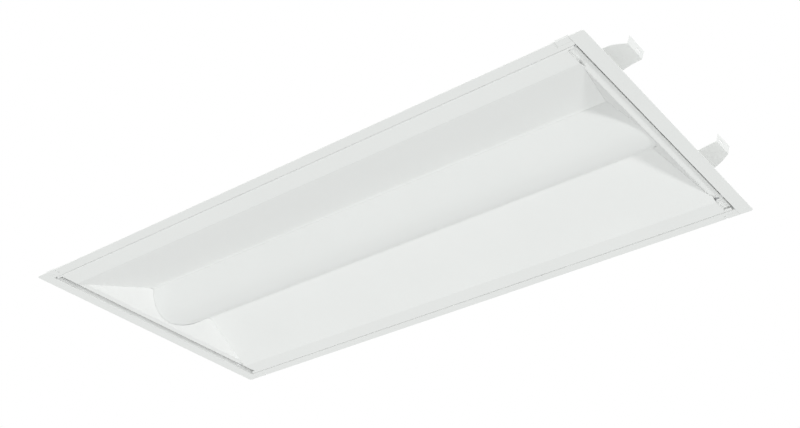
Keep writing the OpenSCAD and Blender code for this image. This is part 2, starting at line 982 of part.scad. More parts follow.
module reflector(sy, edge_y) {
    cut_y = seat_y + seat_band;
    color("white")
        at_side(1, sy) {
            difference() {
                union() {
                    along_x(2 * rim_x)
                        sheet(reflector_path(edge_y), -sheet_t);
                    translate([0, edge_y - hem_r, hem_r])
                        rod_x(hem_r, -door_x, door_x);
                }
                translate([0, edge_y - hem_r, hem_r])
                    rod_x(hinge_hole_r, -door_x - cut, door_x + cut);
                both_ends() {
                    intersection() {
                        beyond_end_plates(face_gap);
                        box([0, cut_y, 0], [half_l, fold_y, housing_h]);
                    }
                    box([lens_x, seat_in_y - cut, rail_z], [half_l, cut_y + cut, housing_h]);
                    rim_corner_cut(edge_y);
                }
            }
            both_ends()
                rim_wall(edge_y);
        }
}

// Wall that closes a rim's end: straight, round the corner, and into the hem
module rim_wall(edge_y) {
    corner_y = edge_y - 2 * hem_r;
    centre_x = rim_x - rim_corner_r;
    centre_y = corner_y - rim_corner_r;
    in_hem = 0.4;
    box([rim_x - sheet_t, fold_y + 1, 0.2], [rim_x, centre_y + 0.1, rail_z]);
    box([centre_x - 3, corner_y - sheet_t, 0], [centre_x + 1, corner_y + in_hem, rail_z]);
    translate([centre_x, centre_y, 0])
        intersection() {
            difference() {
                cylinder(r = rim_corner_r, h = rail_z);
                translate([0, 0, -cut])
                    cylinder(r = rim_corner_r - sheet_t, h = rail_z + 2 * cut);
            }
            cube([rim_corner_r + cut, rim_corner_r + cut, rail_z]);
        }
}

// Rounds the rim's outer corner beside the hem
module rim_corner_cut(edge_y) {
    corner_y = edge_y - 2 * hem_r;
    translate([rim_x - rim_corner_r, corner_y - rim_corner_r, -cut])
        difference() {
            cube([rim_corner_r + cut, rim_corner_r, sheet_t + 2 * cut]);
            cylinder(r = rim_corner_r, h = sheet_t + 2 * cut);
        }
}

plate_t = sheet_t;
plate_norm = norm([1, plate_lean]);

// End rail: rounded outer edge, flat face, and an inner lip behind the end plates
module door_rail(sx) {
    hem_x = door_x - rail_hem_r;
    bend_x = rail_in_x + (plate_t + weld_gap) * plate_norm;
    lip_y = fold_y - 18;
    slot_x0 = tab_x - slide_gap;
    slot_x1 = tab_x + tab_l + latch_travel + slide_gap;
    slot_y = tab_w / 2 + slide_gap;
    color("white")
        at_side(sx, 1)
            difference() {
                union() {
                    translate([0, (edge_far - edge_near) / 2, 0])
                        along_y(edge_far + edge_near - 2 * face_gap)
                            sheet([[bend_x, rail_z], [hem_x, rail_z]], rail_t);
                    along_y(2 * lip_y)
                        sheet([[bend_x - plate_lean * lip_h, rail_z + lip_h], [bend_x, rail_z],
                            [bend_x + rail_t * 2, rail_z]], rail_t);
                    translate([hem_x, 0, rail_z + rail_hem_r])
                        rod_y(rail_hem_r, -edge_near + face_gap, edge_far - face_gap);
                }
                box([hem_x - rail_hem_r, latch_y - bolt_w / 2 - slide_gap, rail_z + rail_t],
                    [door_x + cut, latch_y + bolt_w / 2 + slide_gap, rail_z + 2 * rail_hem_r + cut]);
                box([slot_x0, latch_y - slot_y, rail_z - cut], [slot_x1, latch_y + slot_y, rail_z + 2]);
                guide_rivet_points()
                    cylinder(r = 1.2 + rivet_gap, h = rail_z + 2);
            }
}

// End plate: from the rail's inner edge up to the wing, cut to the lens's arc
module end_plate(sx, sy) {
    wing_over = 1.6;
    foot_y = fold_y - (rail_z - wing_over) / wing_slope;
    top_y = fold_y - (plate_top_z - wing_over) / wing_slope;
    top_x = rail_in_x - plate_lean * (plate_top_z - rail_z);
    wide = plate_t * plate_norm;
    color("white")
        at_side(sx, sy)
            difference() {
                intersection() {
                    along_y(trim_w)
                        polygon([
                            [rail_in_x, rail_z], [rail_in_x + wide, rail_z],
                            [top_x + wide, plate_top_z], [top_x, plate_top_z]
                        ]);
                    along_x(trim_l)
                        polygon([
                            [face_gap, rail_z],
                            [foot_y, rail_z],
                            [top_y, plate_top_z],
                            [face_gap, plate_top_z]
                        ]);
                }
                translate([0, 0, lens_axis_z])
                    rod_x(lens_r + 0.4, 0, half_l);
            }
}

// Lens

module lens() {
    color("white")
        union() {
            intersection() {
                translate([0, 0, lens_axis_z])
                    difference() {
                        rod_x(lens_r, -lens_x, lens_x);
                        rod_x(lens_r - lens_t, -lens_x - cut, lens_x + cut);
                    }
                box([-lens_x, -half_w, 0], [lens_x, half_w, lens_top_z]);
            }
            for (sy = [1, -1])
                at_side(1, sy)
                    box([-lens_x, lens_y + 1, lens_flange_z], [lens_x, lens_flange_y, lens_top_z]);
        }
}

module lens_ends() {
    color("white")
        both_ends()
            intersection() {
                translate([0, 0, lens_axis_z])
                    rod_x(lens_r, lens_x, lens_x + lens_end_t);
                box([lens_x, -half_w, 0], [half_l, half_w, lens_top_z]);
            }
}

module lens_gaskets() {
    gasket_in = seat_in_y + 1.5;
    color("gray")
        for (sy = [1, -1])
            at_side(1, sy)
                box([-lens_x + 3, gasket_in, crest_z + sheet_t], [lens_x - 3, seat_y, lens_flange_z]);
}

// Spring clip: foot on the wing's back, rise, and finger on the lens's flange
module lens_clips() {
    foot_l = 10;
    back = left_of(unit([1, -wing_slope])) * (sheet_t + weld_gap);
    function on_wing(y) = [y, wing_slope * (fold_y - y)] + back;
    foot_in = on_wing(seat_y + 3.5);
    foot_out = on_wing(seat_y + 3.5 + foot_l);
    rise_y = lens_flange_y + 1;
    color("silver")
        for (i = [0 : clip_count - 1])
            for (sy = [1, -1])
                at_side(1, sy)
                    translate([(i - (clip_count - 1) / 2) * clip_pitch, 0, 0])
                        along_x(clip_w)
                            sheet([
                                [seat_in_y + 3, lens_top_z], [rise_y, lens_top_z], foot_in, foot_out
                            ], clip_t);
}

// Latches

tab_w = 6;
tab_l = 3;
tab_drop = 1.4;
tab_x = bolt_out_x - bolt_l + 2;
guide_t = 0.8;
guide_l = 8;
guide_foot = 4;
guide_x = door_x - 2 * rail_hem_r - slide_gap - guide_l;

module guide_rivet_points() {
    from_middle = bolt_w / 2 + slide_gap + guide_t + guide_foot / 2;
    for (sy = [1, -1])
        translate([guide_x + guide_l / 2, latch_y + sy * from_middle, 0])
            children();
}

// Bolt with a finger tab that hangs through the rail's slot
module latch(sx) {
    x0 = bolt_out_x - bolt_l;
    color("silver")
        at_side(sx, 1) {
            box([x0, latch_y - bolt_w / 2, bolt_z], [bolt_out_x, latch_y + bolt_w / 2, bolt_z + bolt_t]);
            translate([tab_x, latch_y, 0])
                box([0, -tab_w / 2, rail_z - tab_drop], [tab_l, tab_w / 2, bolt_z]);
        }
}

// Bridge over the bolt, with two feet on the rail
module latch_guides() {
    z0 = rail_z + rail_t;
    z1 = bolt_z + bolt_t + slide_gap;
    half_in = bolt_w / 2 + slide_gap;
    color("silver")
        both_ends()
            translate([guide_x + guide_l / 2, latch_y, 0])
                difference() {
                    along_x(guide_l)
                        sheet([
                            [half_in + guide_t + guide_foot, z0], [half_in, z0], [half_in, z1],
                            [-half_in, z1], [-half_in, z0], [-half_in - guide_t - guide_foot, z0]
                        ], -guide_t);
                    translate([-guide_x - guide_l / 2, -latch_y, 0])
                        guide_rivet_points()
                            cylinder(r = 1.2 + rivet_gap, h = z0 + 2);
                }
}

module guide_rivets() {
    z1 = rail_z + rail_t + guide_t;
    color("silver")
        both_ends()
            guide_rivet_points() {
                translate([0, 0, rail_z])
                    cylinder(r = 1.2, h = z1 - rail_z + 0.1);
                translate([0, 0, z1])
                    cylinder(r = 1.9, h = 0.7);
            }
}

housing_pan();
end_cap(1);  // end_cap_right
end_cap(-1);  // end_cap_left
trim_side(-1);  // trim_side_near
trim_side(1);  // trim_side_far
trim_end(1);  // trim_end_right
trim_end(-1);  // trim_end_left
corner_bracket(1, -1);  // corner_bracket_right_near
corner_bracket(1, 1);  // corner_bracket_right_far
corner_bracket(-1, -1);  // corner_bracket_left_near
corner_bracket(-1, 1);  // corner_bracket_left_far
trim_rivets();
led_tray();
led_board(0);  // led_board_1
led_board(1);  // led_board_2
led_board(2);  // led_board_3
led_board(3);  // led_board_4
led_packages();
board_screws();
board_connectors();
driver();
driver_ends();
driver_cover();
cover_screws();
terminal_block();
terminal_screws();
earth_stud();
gland_body();
gland_nut();
gland_locknut();
grommet();
arm_brackets();
bracket_rivets();
arm_pins();
hinge_pins();
reflector(-1, edge_near);  // reflector_near
reflector(1, edge_far);  // reflector_far
door_rail(1);  // door_rail_right
door_rail(-1);  // door_rail_left
end_plate(1, -1);  // end_plate_right_near
end_plate(1, 1);  // end_plate_right_far
end_plate(-1, -1);  // end_plate_left_near
end_plate(-1, 1);  // end_plate_left_far
lens();
lens_ends();
lens_gaskets();
lens_clips();
latch_guides();
guide_rivets();
latch(1);  // latch_right
latch(-1);  // latch_left
fixing_arm(1, -1);  // arm_right_near
fixing_arm(1, 1);  // arm_right_far
fixing_arm(-1, -1);  // arm_left_near
fixing_arm(-1, 1);  // arm_left_far
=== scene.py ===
"""Recessed troffer light: finishes, modelled pieces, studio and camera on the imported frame.

Lengths are metres in the light's own frame: X along it, Y across it, Z up into the ceiling. The
origin is the middle of the trim's bottom face.
"""
import contextlib
import logging
import math
from dataclasses import dataclass
from enum import Enum
from typing import Callable, ClassVar, Iterator, Sequence

import bmesh
import bpy
from mathutils import Matrix, Vector


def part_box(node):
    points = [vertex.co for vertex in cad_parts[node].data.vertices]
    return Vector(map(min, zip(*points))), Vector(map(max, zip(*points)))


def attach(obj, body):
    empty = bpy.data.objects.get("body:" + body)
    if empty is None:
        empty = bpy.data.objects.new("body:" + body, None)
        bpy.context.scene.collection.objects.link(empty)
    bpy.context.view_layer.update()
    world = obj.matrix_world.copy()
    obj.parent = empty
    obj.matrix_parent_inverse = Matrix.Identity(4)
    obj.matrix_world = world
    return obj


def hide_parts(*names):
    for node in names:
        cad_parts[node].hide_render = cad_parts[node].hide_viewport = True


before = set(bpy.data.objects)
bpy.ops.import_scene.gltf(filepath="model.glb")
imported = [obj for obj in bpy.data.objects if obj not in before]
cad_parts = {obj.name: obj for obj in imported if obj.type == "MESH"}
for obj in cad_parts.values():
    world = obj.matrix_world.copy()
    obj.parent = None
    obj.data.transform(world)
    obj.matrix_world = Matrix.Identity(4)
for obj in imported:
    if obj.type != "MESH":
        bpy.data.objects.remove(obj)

LOG = logging.getLogger("troffer")
MM = 0.001
MERGE_WITHIN = 1e-6
NOISE_RANGE = (0.3, 0.7)
SAME_WAY = 0.95
SHEET_ANGLE, SCREW_ANGLE, SOFT_ANGLE, RIVET_ANGLE = 30.0, 35.0, 40.0, 50.0
Colour = tuple[float, float, float]
Point = tuple[float, float, float]
Steps = tuple[tuple[float, float], ...]
Finished = dict["Slot", tuple[str, ...]]
Piece = bpy.types.Object
Socket = bpy.types.NodeSocket
Tree = bpy.types.NodeTree


# Node graphs


class Graph:
    """A node tree under construction, with short calls for its nodes and links."""

    def __init__(self, tree: Tree) -> None:
        """Starts from an empty tree."""
        self.tree = tree
        self.tree.nodes.clear()

    def add(
        self, kind: str, inputs: dict[str | int, object] | None = None, **settings: object
    ) -> bpy.types.Node:
        """Adds a node and sets its values or feeds them from other sockets.

        Args:
            kind: The node's type name.
            inputs: Input names or indexes, with a value or an output socket for each.
            **settings: The node's own settings.

        Returns:
            The new node.
        """
        node = self.tree.nodes.new(kind)
        for name, value in settings.items():
            setattr(node, name, value)
        for key, value in (inputs or {}).items():
            self.supply(node.inputs[key], value)
        return node

    def supply(self, target: Socket, value: object) -> None:
        """Sets an input to a value, or feeds it from an output socket.

        Args:
            target: The input.
            value: The value or the output socket.
        """
        if isinstance(value, Socket):
            self.tree.links.new(value, target)
        else:
            target.default_value = value

    def noise(
        self, place: Socket, scale: object, detail: float, roughness: float = 0.5
    ) -> Socket:
        """Adds a noise texture in a place's coordinates and gives its value, from 0 to 1."""
        inputs = {"Vector": place, "Scale": scale, "Detail": detail, "Roughness": roughness}
        return self.add("ShaderNodeTexNoise", inputs).outputs[0]

    def mix(self, factor: object, low: object, high: object) -> Socket:
        """Mixes two colours.

        Args:
            factor: Share of the second colour, a number or a socket.
            low: First colour, as RGBA or a socket.
            high: Second colour, as RGBA or a socket.

        Returns:
            The mixed colour's socket.
        """
        node = self.add("ShaderNodeMix", data_type="RGBA")
        for key, value in ((0, factor), (6, low), (7, high)):
            self.supply(node.inputs[key], value)
        return node.outputs[2]

    def math(self, operation: str, first: object, second: object = 0.5) -> Socket:
        """Combines two numbers or sockets by a Math operation, clamped to 0 to 1."""
        inputs = {0: first, 1: second}
        return self.add("ShaderNodeMath", inputs, operation=operation, use_clamp=True).outputs[0]

    def span(
        self, value: object, low: float, high: float, to_low: float = 0.0, to_high: float = 1.0
    ) -> Socket:
        """Maps a value from the range low to high to the range to_low to to_high, clamped."""
        keys = {0: value, 1: low, 2: high, 3: to_low, 4: to_high}
        return self.add("ShaderNodeMapRange", keys).outputs[0]

    def seen_rays(self) -> Socket:
        """Gives 1 for the rays that see a backdrop: from the camera, off gloss and through glass.

        Returns:
            The mask's socket.
        """
        rays = self.add("ShaderNodeLightPath").outputs
        bounced = self.math("MAXIMUM", rays["Is Glossy Ray"], rays["Is Transmission Ray"])
        return self.math("MAXIMUM", rays["Is Camera Ray"], bounced)


def rgba(colour: Colour) -> tuple[float, float, float, float]:
    """Gives a colour with full alpha."""
    return (*colour, 1.0)


def effect(
    name: str, inputs: dict[str, float | None], outputs: dict[str, str]
) -> tuple[Graph, bpy.types.Node, bpy.types.Node]:
    """Starts a node group that materials share.

    Args:
        name: The group's name.
        inputs: Names and default numbers of its inputs; None makes a vector input.
        outputs: Names and socket types of its outputs.

    Returns:
        The group's graph, its input node and its output node.
    """
    tree = bpy.data.node_groups.new(name, "ShaderNodeTree")
    for key, value in inputs.items():
        kind = "NodeSocketVector" if value is None else "NodeSocketFloat"
        socket = tree.interface.new_socket(name=key, in_out="INPUT", socket_type=kind)
        if value is not None:
            socket.default_value = value
    for key, kind in outputs.items():
        tree.interface.new_socket(name=key, in_out="OUTPUT", socket_type=kind)
    graph = Graph(tree)
    return graph, graph.add("NodeGroupInput"), graph.add("NodeGroupOutput")


def paint_grain() -> Tree:
    """Makes the fine relief and slow tone of a sprayed or powder coat.

    Returns:
        The group, with Height for a bump and Tone for its colour.
    """
    graph, given, out = effect(
        "paint_grain",
        {"Vector": None, "Peel Scale": 420.0, "Tone Scale": 6.0},
        {"Height": "NodeSocketFloat", "Tone": "NodeSocketFloat"},
    )
    place = given.outputs["Vector"]
    peel = graph.noise(place, given.outputs["Peel Scale"], detail=3.0, roughness=0.55)
    slow = graph.noise(place, given.outputs["Tone Scale"], detail=4.0)
    graph.supply(out.inputs["Height"], peel)
    graph.supply(out.inputs["Tone"], graph.span(slow, *NOISE_RANGE))
    return graph.tree


def edge_wear() -> Tree:
    """Makes a mask along outer edges, where a coat is thinner and gets rubbed.

    Returns:
        The group, with a Mask that is 1 on a worn edge.
    """
    graph, given, out = effect(
        "edge_wear",
        {"Vector": None, "Radius": 0.0008, "Amount": 0.6},
        {"Mask": "NodeSocketFloat"},
    )
    rounded = graph.add("ShaderNodeBevel", {"Radius": given.outputs["Radius"]}, samples=4)
    flat = graph.add("ShaderNodeNewGeometry")
    normals = {0: rounded.outputs[0], 1: flat.outputs["Normal"]}
    turn = graph.add("ShaderNodeVectorMath", normals, operation="DOT_PRODUCT")
    edge = graph.span(turn.outputs["Value"], 0.99, 0.8)
    patches = graph.noise(given.outputs["Vector"], 60.0, detail=4.0)
    rubbed = graph.math("MULTIPLY", edge, graph.span(patches, 0.35, 0.65))
    graph.supply(out.inputs["Mask"], graph.math("MULTIPLY", rubbed, given.outputs["Amount"]))
    return graph.tree


def settled_dust() -> Tree:
    """Makes a mask of the thin dust that lies on faces that look up.

    Returns:
        The group, with a Mask that is 1 under full dust.
    """
    graph, given, out = effect(
        "settled_dust", {"Vector": None, "Amount": 0.35}, {"Mask": "NodeSocketFloat"}
    )
    normal = graph.add("ShaderNodeNewGeometry").outputs["Normal"]
    parts = graph.add("ShaderNodeSeparateXYZ", {0: normal})
    up = graph.span(parts.outputs["Z"], 0.35, 0.95)
    clouds = graph.noise(given.outputs["Vector"], 14.0, detail=6.0, roughness=0.62)
    lying = graph.math("MULTIPLY", up, graph.span(clouds, 0.3, 0.75))
    graph.supply(out.inputs["Mask"], graph.math("MULTIPLY", lying, given.outputs["Amount"]))
    return graph.tree


def zinc_spangle() -> Tree:
    """Makes the crystal patches of a hot-dipped zinc coat.

    Returns:
        The group, with Tone from crystal to crystal and the Height of their borders.
    """
    graph, given, out = effect(
        "zinc_spangle",
        {"Vector": None, "Scale": 120.0},
        {"Tone": "NodeSocketFloat", "Height": "NodeSocketFloat"},
    )
    common = {"Vector": given.outputs["Vector"], "Scale": given.outputs["Scale"]}
    cells = graph.add("ShaderNodeTexVoronoi", dict(common))
    tone = graph.add("ShaderNodeSeparateColor", {0: cells.outputs["Color"]})
    border = graph.add("ShaderNodeTexVoronoi", dict(common), feature="DISTANCE_TO_EDGE")
    graph.supply(out.inputs["Tone"], tone.outputs[0])
    graph.supply(out.inputs["Height"], graph.span(border.outputs["Distance"], 0.0, 0.08))
    return graph.tree


def brush_lines() -> Tree:
    """Makes the fine lines that rolling and brushing leave along X.

    Returns:
        The group, with the lines as Height.
    """
    graph, given, out = effect("brush_lines", {"Vector": None}, {"Height": "NodeSocketFloat"})
    drawn = graph.add(
        "ShaderNodeMapping", {"Vector": given.outputs["Vector"], "Scale": (6.0, 900.0, 900.0)}
    )
    graph.supply(out.inputs["Height"], graph.noise(drawn.outputs[0], 1.0, detail=3.0))
    return graph.tree


@dataclass(frozen=True)
class Effects:
    """The shared node groups, each built once."""

    grain: Tree
    wear: Tree
    dust: Tree
    spangle: Tree
    brush: Tree

    @classmethod
    def build(cls) -> "Effects":
        """Builds every shared group."""
        return cls(paint_grain(), edge_wear(), settled_dust(), zinc_spangle(), brush_lines())


class Dress(Graph):
    """A material's graph, with its Principled shader and Object coordinates ready."""

    def __init__(self, name: str, effects: Effects, shader: dict[str, object]) -> None:
        """Starts a material.

        Args:
            name: The material's name.
            effects: The shared groups.
            shader: Values set on the Principled shader's own sockets.
        """
        self.material = bpy.data.materials.new(name)
        self.material.use_nodes = True
        super().__init__(self.material.node_tree)
        self.effects = effects
        self.shader = self.add("ShaderNodeBsdfPrincipled", dict(shader))
        self.add("ShaderNodeOutputMaterial", {"Surface": self.shader.outputs[0]})
        self.place = self.add("ShaderNodeTexCoord").outputs["Object"]

    def use(self, group: Tree, **values: float) -> bpy.types.Node:
        """Places a shared group, fed with the piece's own coordinates.

        Args:
            group: The group to place.
            **values: Its inputs, with underscores for spaces in their names.

        Returns:
            The group's node.
        """
        node = self.add("ShaderNodeGroup", node_tree=group)
        self.supply(node.inputs["Vector"], self.place)
        for key, value in values.items():
            node.inputs[key.replace("_", " ").title()].default_value = value
        return node

    def feed(self, name: str, socket: Socket) -> None:
        """Feeds one of the shader's inputs."""
        self.supply(self.shader.inputs[name], socket)

    def cover(self, base: Socket, mask: Socket, over: Colour) -> None:
        """Feeds the base colour, with a second colour laid over it by a mask."""
        self.feed("Base Color", self.mix(mask, base, rgba(over)))

    def relief(self, height: Socket, distance: float) -> None:
        """Turns a height of 0 to 1 into the shader's normal, for a depth in metres."""
        bump = self.add("ShaderNodeBump", {"Height": height, "Distance": distance, "Strength": 1.0})
        self.feed("Normal", bump.outputs[0])


# Finishes


class Slot(Enum):
    """Material slots, one for each finish."""

    WHITE_PAINT = "white_paint"
    REFLECTOR_PAINT = "reflector_paint"
    GALVANISED = "galvanised"
    ZINC = "zinc"
    ALUMINIUM = "aluminium"
    OPAL = "opal"
    BOARD_WHITE = "board_white"
    PHOSPHOR = "phosphor"
    WHITE_PLASTIC = "white_plastic"
    GREY_PLASTIC = "grey_plastic"
    BLACK_RUBBER = "black_rubber"
    FOAM = "foam"
    BRASS = "brass"


@dataclass(frozen=True)
class Finish:
    """What every finish has: the two tones of its colour and its shader's own values."""

    shader: ClassVar[dict[str, float]] = {}
    colour: Colour
    shade: Colour

    def build(self, name: str, effects: Effects) -> bpy.types.Material:
        """Builds the material.

        Args:
            name: The material's name.
            effects: The shared node groups.

        Returns:
            The material.
        """
        dress = Dress(name, effects, self.shader)
        self.lay(dress)
        return dress.material

    def lay(self, dress: Dress) -> None:
        """Lays the finish out in a material's graph. Each kind of finish has its own."""
        raise NotImplementedError

    def tones(self, dress: Dress, share: Socket) -> Socket:
        """Mixes the two tones by a share."""
        return dress.mix(share, rgba(self.shade), rgba(self.colour))


@dataclass(frozen=True)
class PaintFinish(Finish):
    """Baked powder coat on sheet steel: fine orange peel, paler rubbed edges and light dust."""

    shader: ClassVar[dict[str, float]] = {"Specular IOR Level": 0.4, "Coat Roughness": 0.35}
    edge: Colour
    roughness: float
    peel_scale: float = 420.0
    peel_depth: float = 0.00003
    dust: float = 0.3
    dust_colour: Colour = (0.66, 0.64, 0.60)
    dust_roughness: float = 0.4
    wear: float = 0.5
    spread: float = 0.04

    def lay(self, dress: Dress) -> None:
        """Lays the coat, its rubbed edges and the dust.

        Args:
            dress: The material's graph.
        """
        grain = dress.use(dress.effects.grain, peel_scale=self.peel_scale).outputs
        wear = dress.use(dress.effects.wear, amount=self.wear).outputs["Mask"]
        dust = dress.use(dress.effects.dust, amount=self.dust).outputs["Mask"]
        rubbed = dress.mix(wear, self.tones(dress, grain["Tone"]), rgba(self.edge))
        dress.cover(rubbed, dust, self.dust_colour)
        smoother, rougher = self.roughness - self.spread, self.roughness + self.spread
        rough = dress.span(grain["Tone"], 0.0, 1.0, smoother, rougher)
        added = dress.math("MULTIPLY", dust, self.dust_roughness)
        dress.feed("Roughness", dress.math("ADD", rough, added))
        dress.relief(grain["Height"], self.peel_depth)


@dataclass(frozen=True)
class MetalFinish(Finish):
    """Bare or plated metal with crystal patches or drawn lines."""

    shader: ClassVar[dict[str, float]] = {"Metallic": 1.0}
    roughness: float
    spangle_scale: float = 0.0
    depth: float = 0.00002
    wear: float = 0.5
    wear_radius: float = 0.4 * MM
    polish: float = 1.12

    def lay(self, dress: Dress) -> None:
        """Lays the metal and its brighter edges.

        Args:
            dress: The material's graph.
        """
        grain = dress.use(dress.effects.grain, peel_scale=900.0, tone_scale=40.0).outputs
        tone, height = grain["Tone"], grain["Height"]
        if self.spangle_scale:
            crystals = dress.use(dress.effects.spangle, scale=self.spangle_scale).outputs
            tone, height = crystals["Tone"], crystals["Height"]
        else:
            lines = dress.use(dress.effects.brush).outputs["Height"]
            height = dress.math("MULTIPLY", lines, height)
        wear = dress.use(dress.effects.wear, amount=self.wear, radius=self.wear_radius)
        bright = tuple(min(1.0, self.polish * c) for c in self.colour)
        dress.cover(self.tones(dress, tone), wear.outputs["Mask"], bright)
        rough = dress.span(tone, 0.0, 1.0, self.roughness + 0.08, self.roughness - 0.06)
        dress.feed("Roughness", rough)
        dress.relief(height, self.depth)


@dataclass(frozen=True)
class PlasticFinish(Finish):
    """Moulded plastic or rubber with a spark-eroded grain."""

    shader: ClassVar[dict[str, float]] = {"Specular IOR Level": 0.45}
    roughness: float
    grain_scale: float = 1500.0
    depth: float = 0.00002
    dust: float = 0.2
    dust_colour: Colour = (0.6, 0.58, 0.55)
    wear: float = 0.35
    wear_radius: float = 0.4 * MM
    fading: float = 0.35

    def lay(self, dress: Dress) -> None:
        """Lays the plastic, its faded edges and the dust.

        Args:
            dress: The material's graph.
        """
        grain = dress.use(
            dress.effects.grain, peel_scale=self.grain_scale, tone_scale=50.0
        ).outputs
        wear = dress.use(dress.effects.wear, amount=self.wear, radius=self.wear_radius)
        dust = dress.use(dress.effects.dust, amount=self.dust).outputs["Mask"]
        pale = tuple(c + self.fading * (1.0 - c) for c in self.colour)
        base = self.tones(dress, grain["Tone"])
        dress.cover(dress.mix(wear.outputs["Mask"], base, rgba(pale)), dust, self.dust_colour)
        height, rough = grain["Height"], self.roughness
        dress.feed("Roughness", dress.span(height, *NOISE_RANGE, rough - 0.06, rough + 0.08))
        dress.relief(height, self.depth)


@dataclass(frozen=True)
class OpalFinish(Finish):
    """Milky acrylic with drawing lines along the extrusion and a soft sheen."""

    shader: ClassVar[dict[str, float]] = {
        "Specular IOR Level": 0.4, "Coat Weight": 0.1, "Coat Roughness": 0.12,
    }
    roughness: float
    dust: float = 0.2
    dust_colour: Colour = (0.68, 0.66, 0.62)
    depth: float = 0.000004

    def lay(self, dress: Dress) -> None:
        """Lays the acrylic, its lines and the dust.

        Args:
            dress: The material's graph.
        """
        grain = dress.use(dress.effects.grain, peel_scale=160.0, tone_scale=4.0).outputs
        lines = dress.use(dress.effects.brush).outputs["Height"]
        dust = dress.use(dress.effects.dust, amount=self.dust).outputs["Mask"]
        dress.cover(self.tones(dress, grain["Tone"]), dust, self.dust_colour)
        rough = self.roughness
        dress.feed("Roughness", dress.span(lines, *NOISE_RANGE, rough - 0.04, rough + 0.05))
        dress.relief(lines, self.depth)


@dataclass(frozen=True)
class BoardFinish(Finish):
    """White solder mask over copper tracks that run along the board. The shade is theirs."""

    shader: ClassVar[dict[str, float]] = {"Specular IOR Level": 0.5, "Roughness": 0.32}
    track_pitch: float
    bands: float = 20.0
    grain: float = 0.2
    depth: float = 0.00003

    def lay(self, dress: Dress) -> None:
        """Lays the solder mask and the ridges of the tracks.

        Args:
            dress: The material's graph.
        """
        grain = dress.use(dress.effects.grain, peel_scale=700.0, tone_scale=20.0)
        across = dress.add("ShaderNodeMapping", {"Vector": dress.place, "Scale": (3.0, 1.0, 1.0)})
        tracks = dress.add(
            "ShaderNodeTexWave",
            {"Vector": across.outputs[0], "Scale": 1.0 / self.track_pitch / self.bands,
             "Distortion": 0.6, "Detail Scale": 0.2},
            bands_direction="Y",
        )
        ridge = dress.span(tracks.outputs["Fac"], 0.42, 0.5)
        dress.feed("Base Color", self.tones(dress, ridge))
        fine = dress.math("MULTIPLY", grain.outputs["Height"], self.grain)
        dress.relief(dress.math("ADD", ridge, fine), self.depth)


@dataclass(frozen=True)
class PhosphorFinish(Finish):
    """Yellow phosphor under clear gel on a light-emitting package."""

    shader: ClassVar[dict[str, float]] = {
        "Roughness": 0.45, "Coat Weight": 0.6, "Coat Roughness": 0.08,
    }
    depth: float = 0.00003

    def lay(self, dress: Dress) -> None:
        """Lays the phosphor's fine grains.

        Args:
            dress: The material's graph.
        """
        grain = dress.use(dress.effects.grain, peel_scale=6000.0, tone_scale=900.0).outputs
        dress.feed("Base Color", self.tones(dress, grain["Tone"]))
        dress.relief(grain["Height"], self.depth)


FINISHES: dict[Slot, Finish] = {
    Slot.WHITE_PAINT: PaintFinish(
        (0.800, 0.808, 0.800), (0.785, 0.793, 0.785), edge=(0.86, 0.865, 0.86), roughness=0.46
    ),
    Slot.REFLECTOR_PAINT: PaintFinish(
        (0.815, 0.823, 0.815), (0.800, 0.808, 0.800), edge=(0.87, 0.875, 0.87), roughness=0.52,
        peel_scale=520.0, peel_depth=0.00002,
    ),
    Slot.GALVANISED: MetalFinish(
        (0.66, 0.68, 0.70), (0.50, 0.52, 0.54), roughness=0.38, spangle_scale=130.0
    ),
    Slot.ZINC: MetalFinish((0.70, 0.71, 0.72), (0.58, 0.59, 0.60), roughness=0.32),
    Slot.ALUMINIUM: MetalFinish((0.83, 0.84, 0.85), (0.76, 0.77, 0.78), roughness=0.36),
    Slot.OPAL: OpalFinish((0.785, 0.795, 0.787), (0.770, 0.780, 0.772), roughness=0.34),
    Slot.BOARD_WHITE: BoardFinish((0.80, 0.80, 0.78), (0.74, 0.73, 0.68), track_pitch=0.005),
    Slot.PHOSPHOR: PhosphorFinish((0.85, 0.66, 0.16), (0.78, 0.56, 0.10)),
    Slot.WHITE_PLASTIC: PlasticFinish((0.78, 0.78, 0.75), (0.74, 0.74, 0.71), roughness=0.42),
    Slot.GREY_PLASTIC: PlasticFinish((0.42, 0.43, 0.44), (0.38, 0.39, 0.40), roughness=0.45),
    Slot.BLACK_RUBBER: PlasticFinish((0.03, 0.03, 0.032), (0.02, 0.02, 0.022), roughness=0.62),
    Slot.FOAM: PlasticFinish(
        (0.10, 0.10, 0.105), (0.05, 0.05, 0.055), roughness=0.9, grain_scale=2200.0, depth=0.0002
    ),
    Slot.BRASS: MetalFinish((0.80, 0.62, 0.30), (0.68, 0.50, 0.22), roughness=0.28),
}


# Modelling steps


def clear_selection() -> None:
    """Deselects every object."""
    for piece in bpy.context.selected_objects:
        piece.select_set(False)


def activate(piece: Piece) -> None:
    """Makes one object the only selected and active one.

    Args:
        piece: The object.
    """
    clear_selection()
    piece.select_set(True)
    bpy.context.view_layer.objects.active = piece


def settle(piece: Piece) -> None:
    """Moves an object's place, turn and scale into its mesh."""
    activate(piece)
    bpy.ops.object.transform_apply(location=True, rotation=True, scale=True)


def new_block(name: str, low: Point, high: Point) -> Piece:
    """Starts a piece from a cube that fills a box.

    Args:
        name: The piece's name.
        low: The box's lowest corner.
        high: The box's highest corner.

    Returns:
        The new object, with its place in its mesh.
    """
    clear_selection()
    middle = [(a + b) / 2 for a, b in zip(low, high)]
    size = [b - a for a, b in zip(low, high)]
    bpy.ops.mesh.primitive_cube_add(size=1.0, location=middle, scale=size)
    piece = bpy.context.active_object
    piece.name = name
    settle(piece)
    return piece


